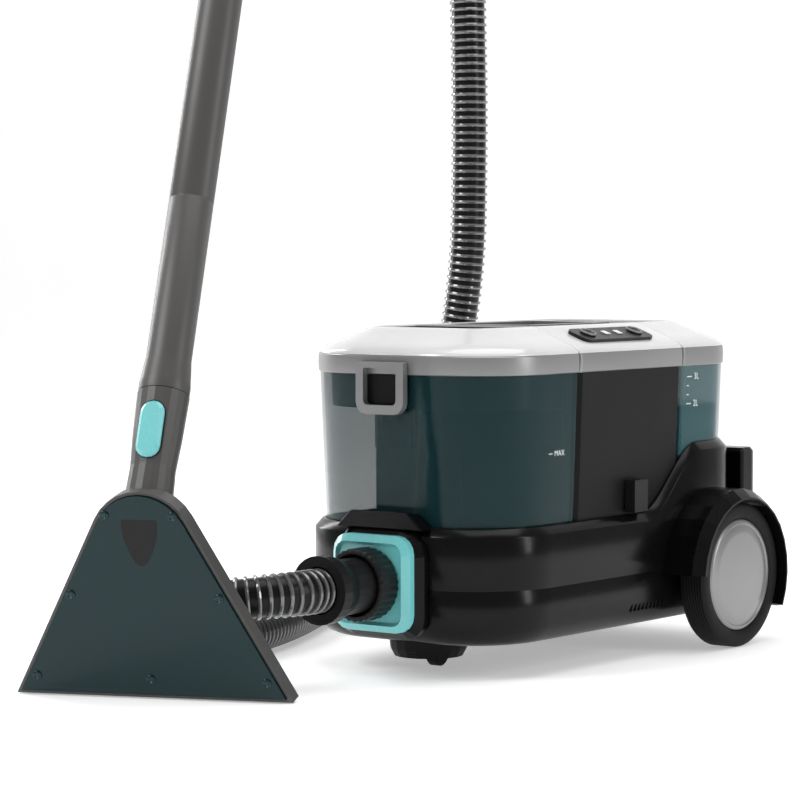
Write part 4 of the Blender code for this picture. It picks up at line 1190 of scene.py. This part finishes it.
class CLEANER_OT_caster(bpy.types.Operator):
    """Front caster in its dome"""

    bl_idname = "cleaner.caster"
    bl_label = "Caster"

    def execute(self, context):
        dress(satin_black(), "caster_dome", "caster_fork")
        dress(rubber(), "caster_wheel")
        return {"FINISHED"}


# ---- hose port ---------------------------------------------------------------------------
RING_STEPS, RING_BORE, FLUTE_DEPTH = 180, 0.0292, 0.0011


def lock_ring_skin():
    """Flutes round the outside and a plain bore."""
    low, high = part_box("lock_ring")
    near, far = low.y - CENTRE.y, high.y - CENTRE.y
    outer, flutes = (high.x - low.x) / 2, sizes().ring_flutes
    angles = [2 * math.pi * i / RING_STEPS for i in range(RING_STEPS)]

    def ring(radius, at, flute):
        points = []
        for a in angles:
            r = radius - flute * (0.5 + 0.5 * math.cos(flutes * a))
            points.append((r * math.cos(a), at, PORT_Z + r * math.sin(a)))
        return points

    outside = (
        (0.0026, near),
        (0.0, near + 0.0016),
        (0.0, near + 0.006),
        (0.0, far - 0.002),
        (0.0012, far),
    )
    rings = [ring(outer - depth, at, FLUTE_DEPTH) for depth, at in outside]
    for flare, at in ((0.001, far), (0.0, near + 0.002), (0.0012, near)):
        rings.append(ring(RING_BORE + flare, at, 0.0))
    return stack(rings, loop=True)


class CLEANER_OT_port(bpy.types.Operator):
    """Black block, turquoise frame, fluted lock ring and hose cuff"""

    bl_idname = "cleaner.port"
    bl_label = "Hose port"

    def execute(self, context):
        dress(gloss_black(), "port_block")
        dress(turquoise(), "port_plate")
        dress(graphite(), "hose_cuff")
        ring = lock_ring_skin()
        piece("lock_ring_look", ring, graphite(), "lock_ring", ["lock_ring"], "graphite")
        return {"FINISHED"}


class CLEANER_OT_tail(bpy.types.Operator):
    """Rear housing and the mains lead's gland"""

    bl_idname = "cleaner.tail"
    bl_label = "Rear housing"

    def execute(self, context):
        dress(gloss_black(), "rear_housing")
        dress(rubber(), "cord_gland")
        return {"FINISHED"}


# ---- nozzle, wand and grip ---------------------------------------------------------------
SCREWS = (
    (-0.033, 0.176),
    (0.033, 0.176),
    (-0.072, 0.099),
    (0.072, 0.099),
    (-0.112, 0.019),
    (0.0, 0.019),
    (0.112, 0.019),
)
SCREW_HEAD = ((0.0044, 0.0), (0.0044, -0.0008), (0.0036, -0.0016), (0.0030, -0.0017), (0.0022, -0.0010))
MOUTH_HALF, MOUTH_FOOT, MOUTH_DEPTH, MOUTH_TOP = 0.017, 0.158, 0.030, 0.172
WAND_PROFILE = (
    (1.00, 0.1040),
    (1.12, 0.1048),
    (1.13, 0.1130),
    (1.12, 0.1142),
    (1.03, 0.1340),
    (1.0, 0.1400),
    (1.0, 0.300),
    (0.985, 0.3006),
    (0.985, 0.3020),
    (1.0, 0.3026),
    (1.0, 0.8590),
    (0.97, 0.8600),
)


class CLEANER_OT_nozzle(bpy.types.Operator):
    """Floor nozzle with its tinted window, the duct's mouth as a dark sheet of painted shade, and seven
    screws
    """

    bl_idname = "cleaner.nozzle"
    bl_label = "Nozzle"

    def mouth(self):
        """The duct's mouth as a dark sheet a hair in front of the window, painted shade for the hollow duct
        behind it.
        """
        ring = []
        for degrees in range(0, 180, 12):
            a = math.radians(degrees)
            ring.append((MOUTH_HALF * math.cos(a), MOUTH_FOOT - MOUTH_DEPTH * math.sin(a) ** 2))
        ring += [(-MOUTH_HALF, MOUTH_TOP), (MOUTH_HALF, MOUTH_TOP)]
        return stack([along_y(ring, -0.00012), along_y(ring, -0.00002)])

    def execute(self, context):
        dress(warm_grey(), "nozzle_body")
        place = {"place": TOOL, "smooth": False}
        # painted shade: a dark graphite sheet over the window where the duct's hollow lies
        piece("duct_mouth", self.mouth(), graphite(), "machine", slot="graphite", **place)
        dress(window_teal(), "nozzle_window")
        dress(turquoise(), "nozzle_button")
        head = stack([along_y(circle(r, 28), y) for r, y in SCREW_HEAD])
        heads = copies(head, [((x, -0.0002, z), (0, 0, 0)) for x, z in SCREWS], screw_teal())
        nodes = ["window_screw_%d" % i for i in range(1, 8)]
        piece("window_screws", heads, screw_teal(), "machine", nodes, "clear_teal", TOOL)
        return {"FINISHED"}


class CLEANER_OT_wand(bpy.types.Operator):
    """Warm grey wand, grip, spray trigger and the cuff that turns on the grip"""

    bl_idname = "cleaner.wand"
    bl_label = "Wand and grip"

    def execute(self, context):
        dress(warm_grey(), "grip")
        rings = [lift(circle(0.0215 * k, 72, (0, 0), 0.977), z) for k, z in WAND_PROFILE]
        solids = ["wand_tube"]
        piece("wand_look", stack(rings), warm_grey(), "machine", solids, "warm_grey", WAND)
        dress(graphite(), "grip_cuff")
        dress(turquoise(), "spray_trigger")
        return {"FINISHED"}


# ---- add-on ------------------------------------------------------------------------------
OPERATORS = (
    CLEANER_OT_stage,
    CLEANER_OT_hose,
    CLEANER_OT_base,
    CLEANER_OT_tanks,
    CLEANER_OT_bands,
    CLEANER_OT_lids,
    CLEANER_OT_column,
    CLEANER_OT_handle,
    CLEANER_OT_latch,
    CLEANER_OT_controls,
    CLEANER_OT_wheels,
    CLEANER_OT_fenders,
    CLEANER_OT_caster,
    CLEANER_OT_port,
    CLEANER_OT_tail,
    CLEANER_OT_nozzle,
    CLEANER_OT_wand,
)


class CLEANER_PT_panel(bpy.types.Panel):
    """Buttons for each piece, and their colours and sizes"""

    bl_idname = "CLEANER_PT_panel"
    bl_label = "Carpet cleaner"
    bl_space_type = "VIEW_3D"
    bl_region_type = "UI"
    bl_category = "Cleaner"

    def draw(self, context):
        for operator in OPERATORS:
            self.layout.operator(operator.bl_idname)
        for settings in (context.scene.cleaner_colours, context.scene.cleaner_sizes):
            box = self.layout.box()
            for name in settings.__annotations__:
                box.prop(settings, name)


CLASSES = (CleanerColours, CleanerSizes, *OPERATORS, CLEANER_PT_panel)


def register():
    for cls in CLASSES:
        bpy.utils.register_class(cls)
    bpy.types.Scene.cleaner_colours = bpy.props.PointerProperty(type=CleanerColours)
    bpy.types.Scene.cleaner_sizes = bpy.props.PointerProperty(type=CleanerSizes)


def unregister():
    del bpy.types.Scene.cleaner_colours
    del bpy.types.Scene.cleaner_sizes
    for cls in reversed(CLASSES):
        bpy.utils.unregister_class(cls)


def main():
    register()
    for operator in OPERATORS:
        made = getattr(bpy.ops.cleaner, operator.bl_idname.split(".")[1])()
        if made != {"FINISHED"}:
            raise RuntimeError(operator.bl_idname + " did not finish")


if __name__ == "__main__":
    main()
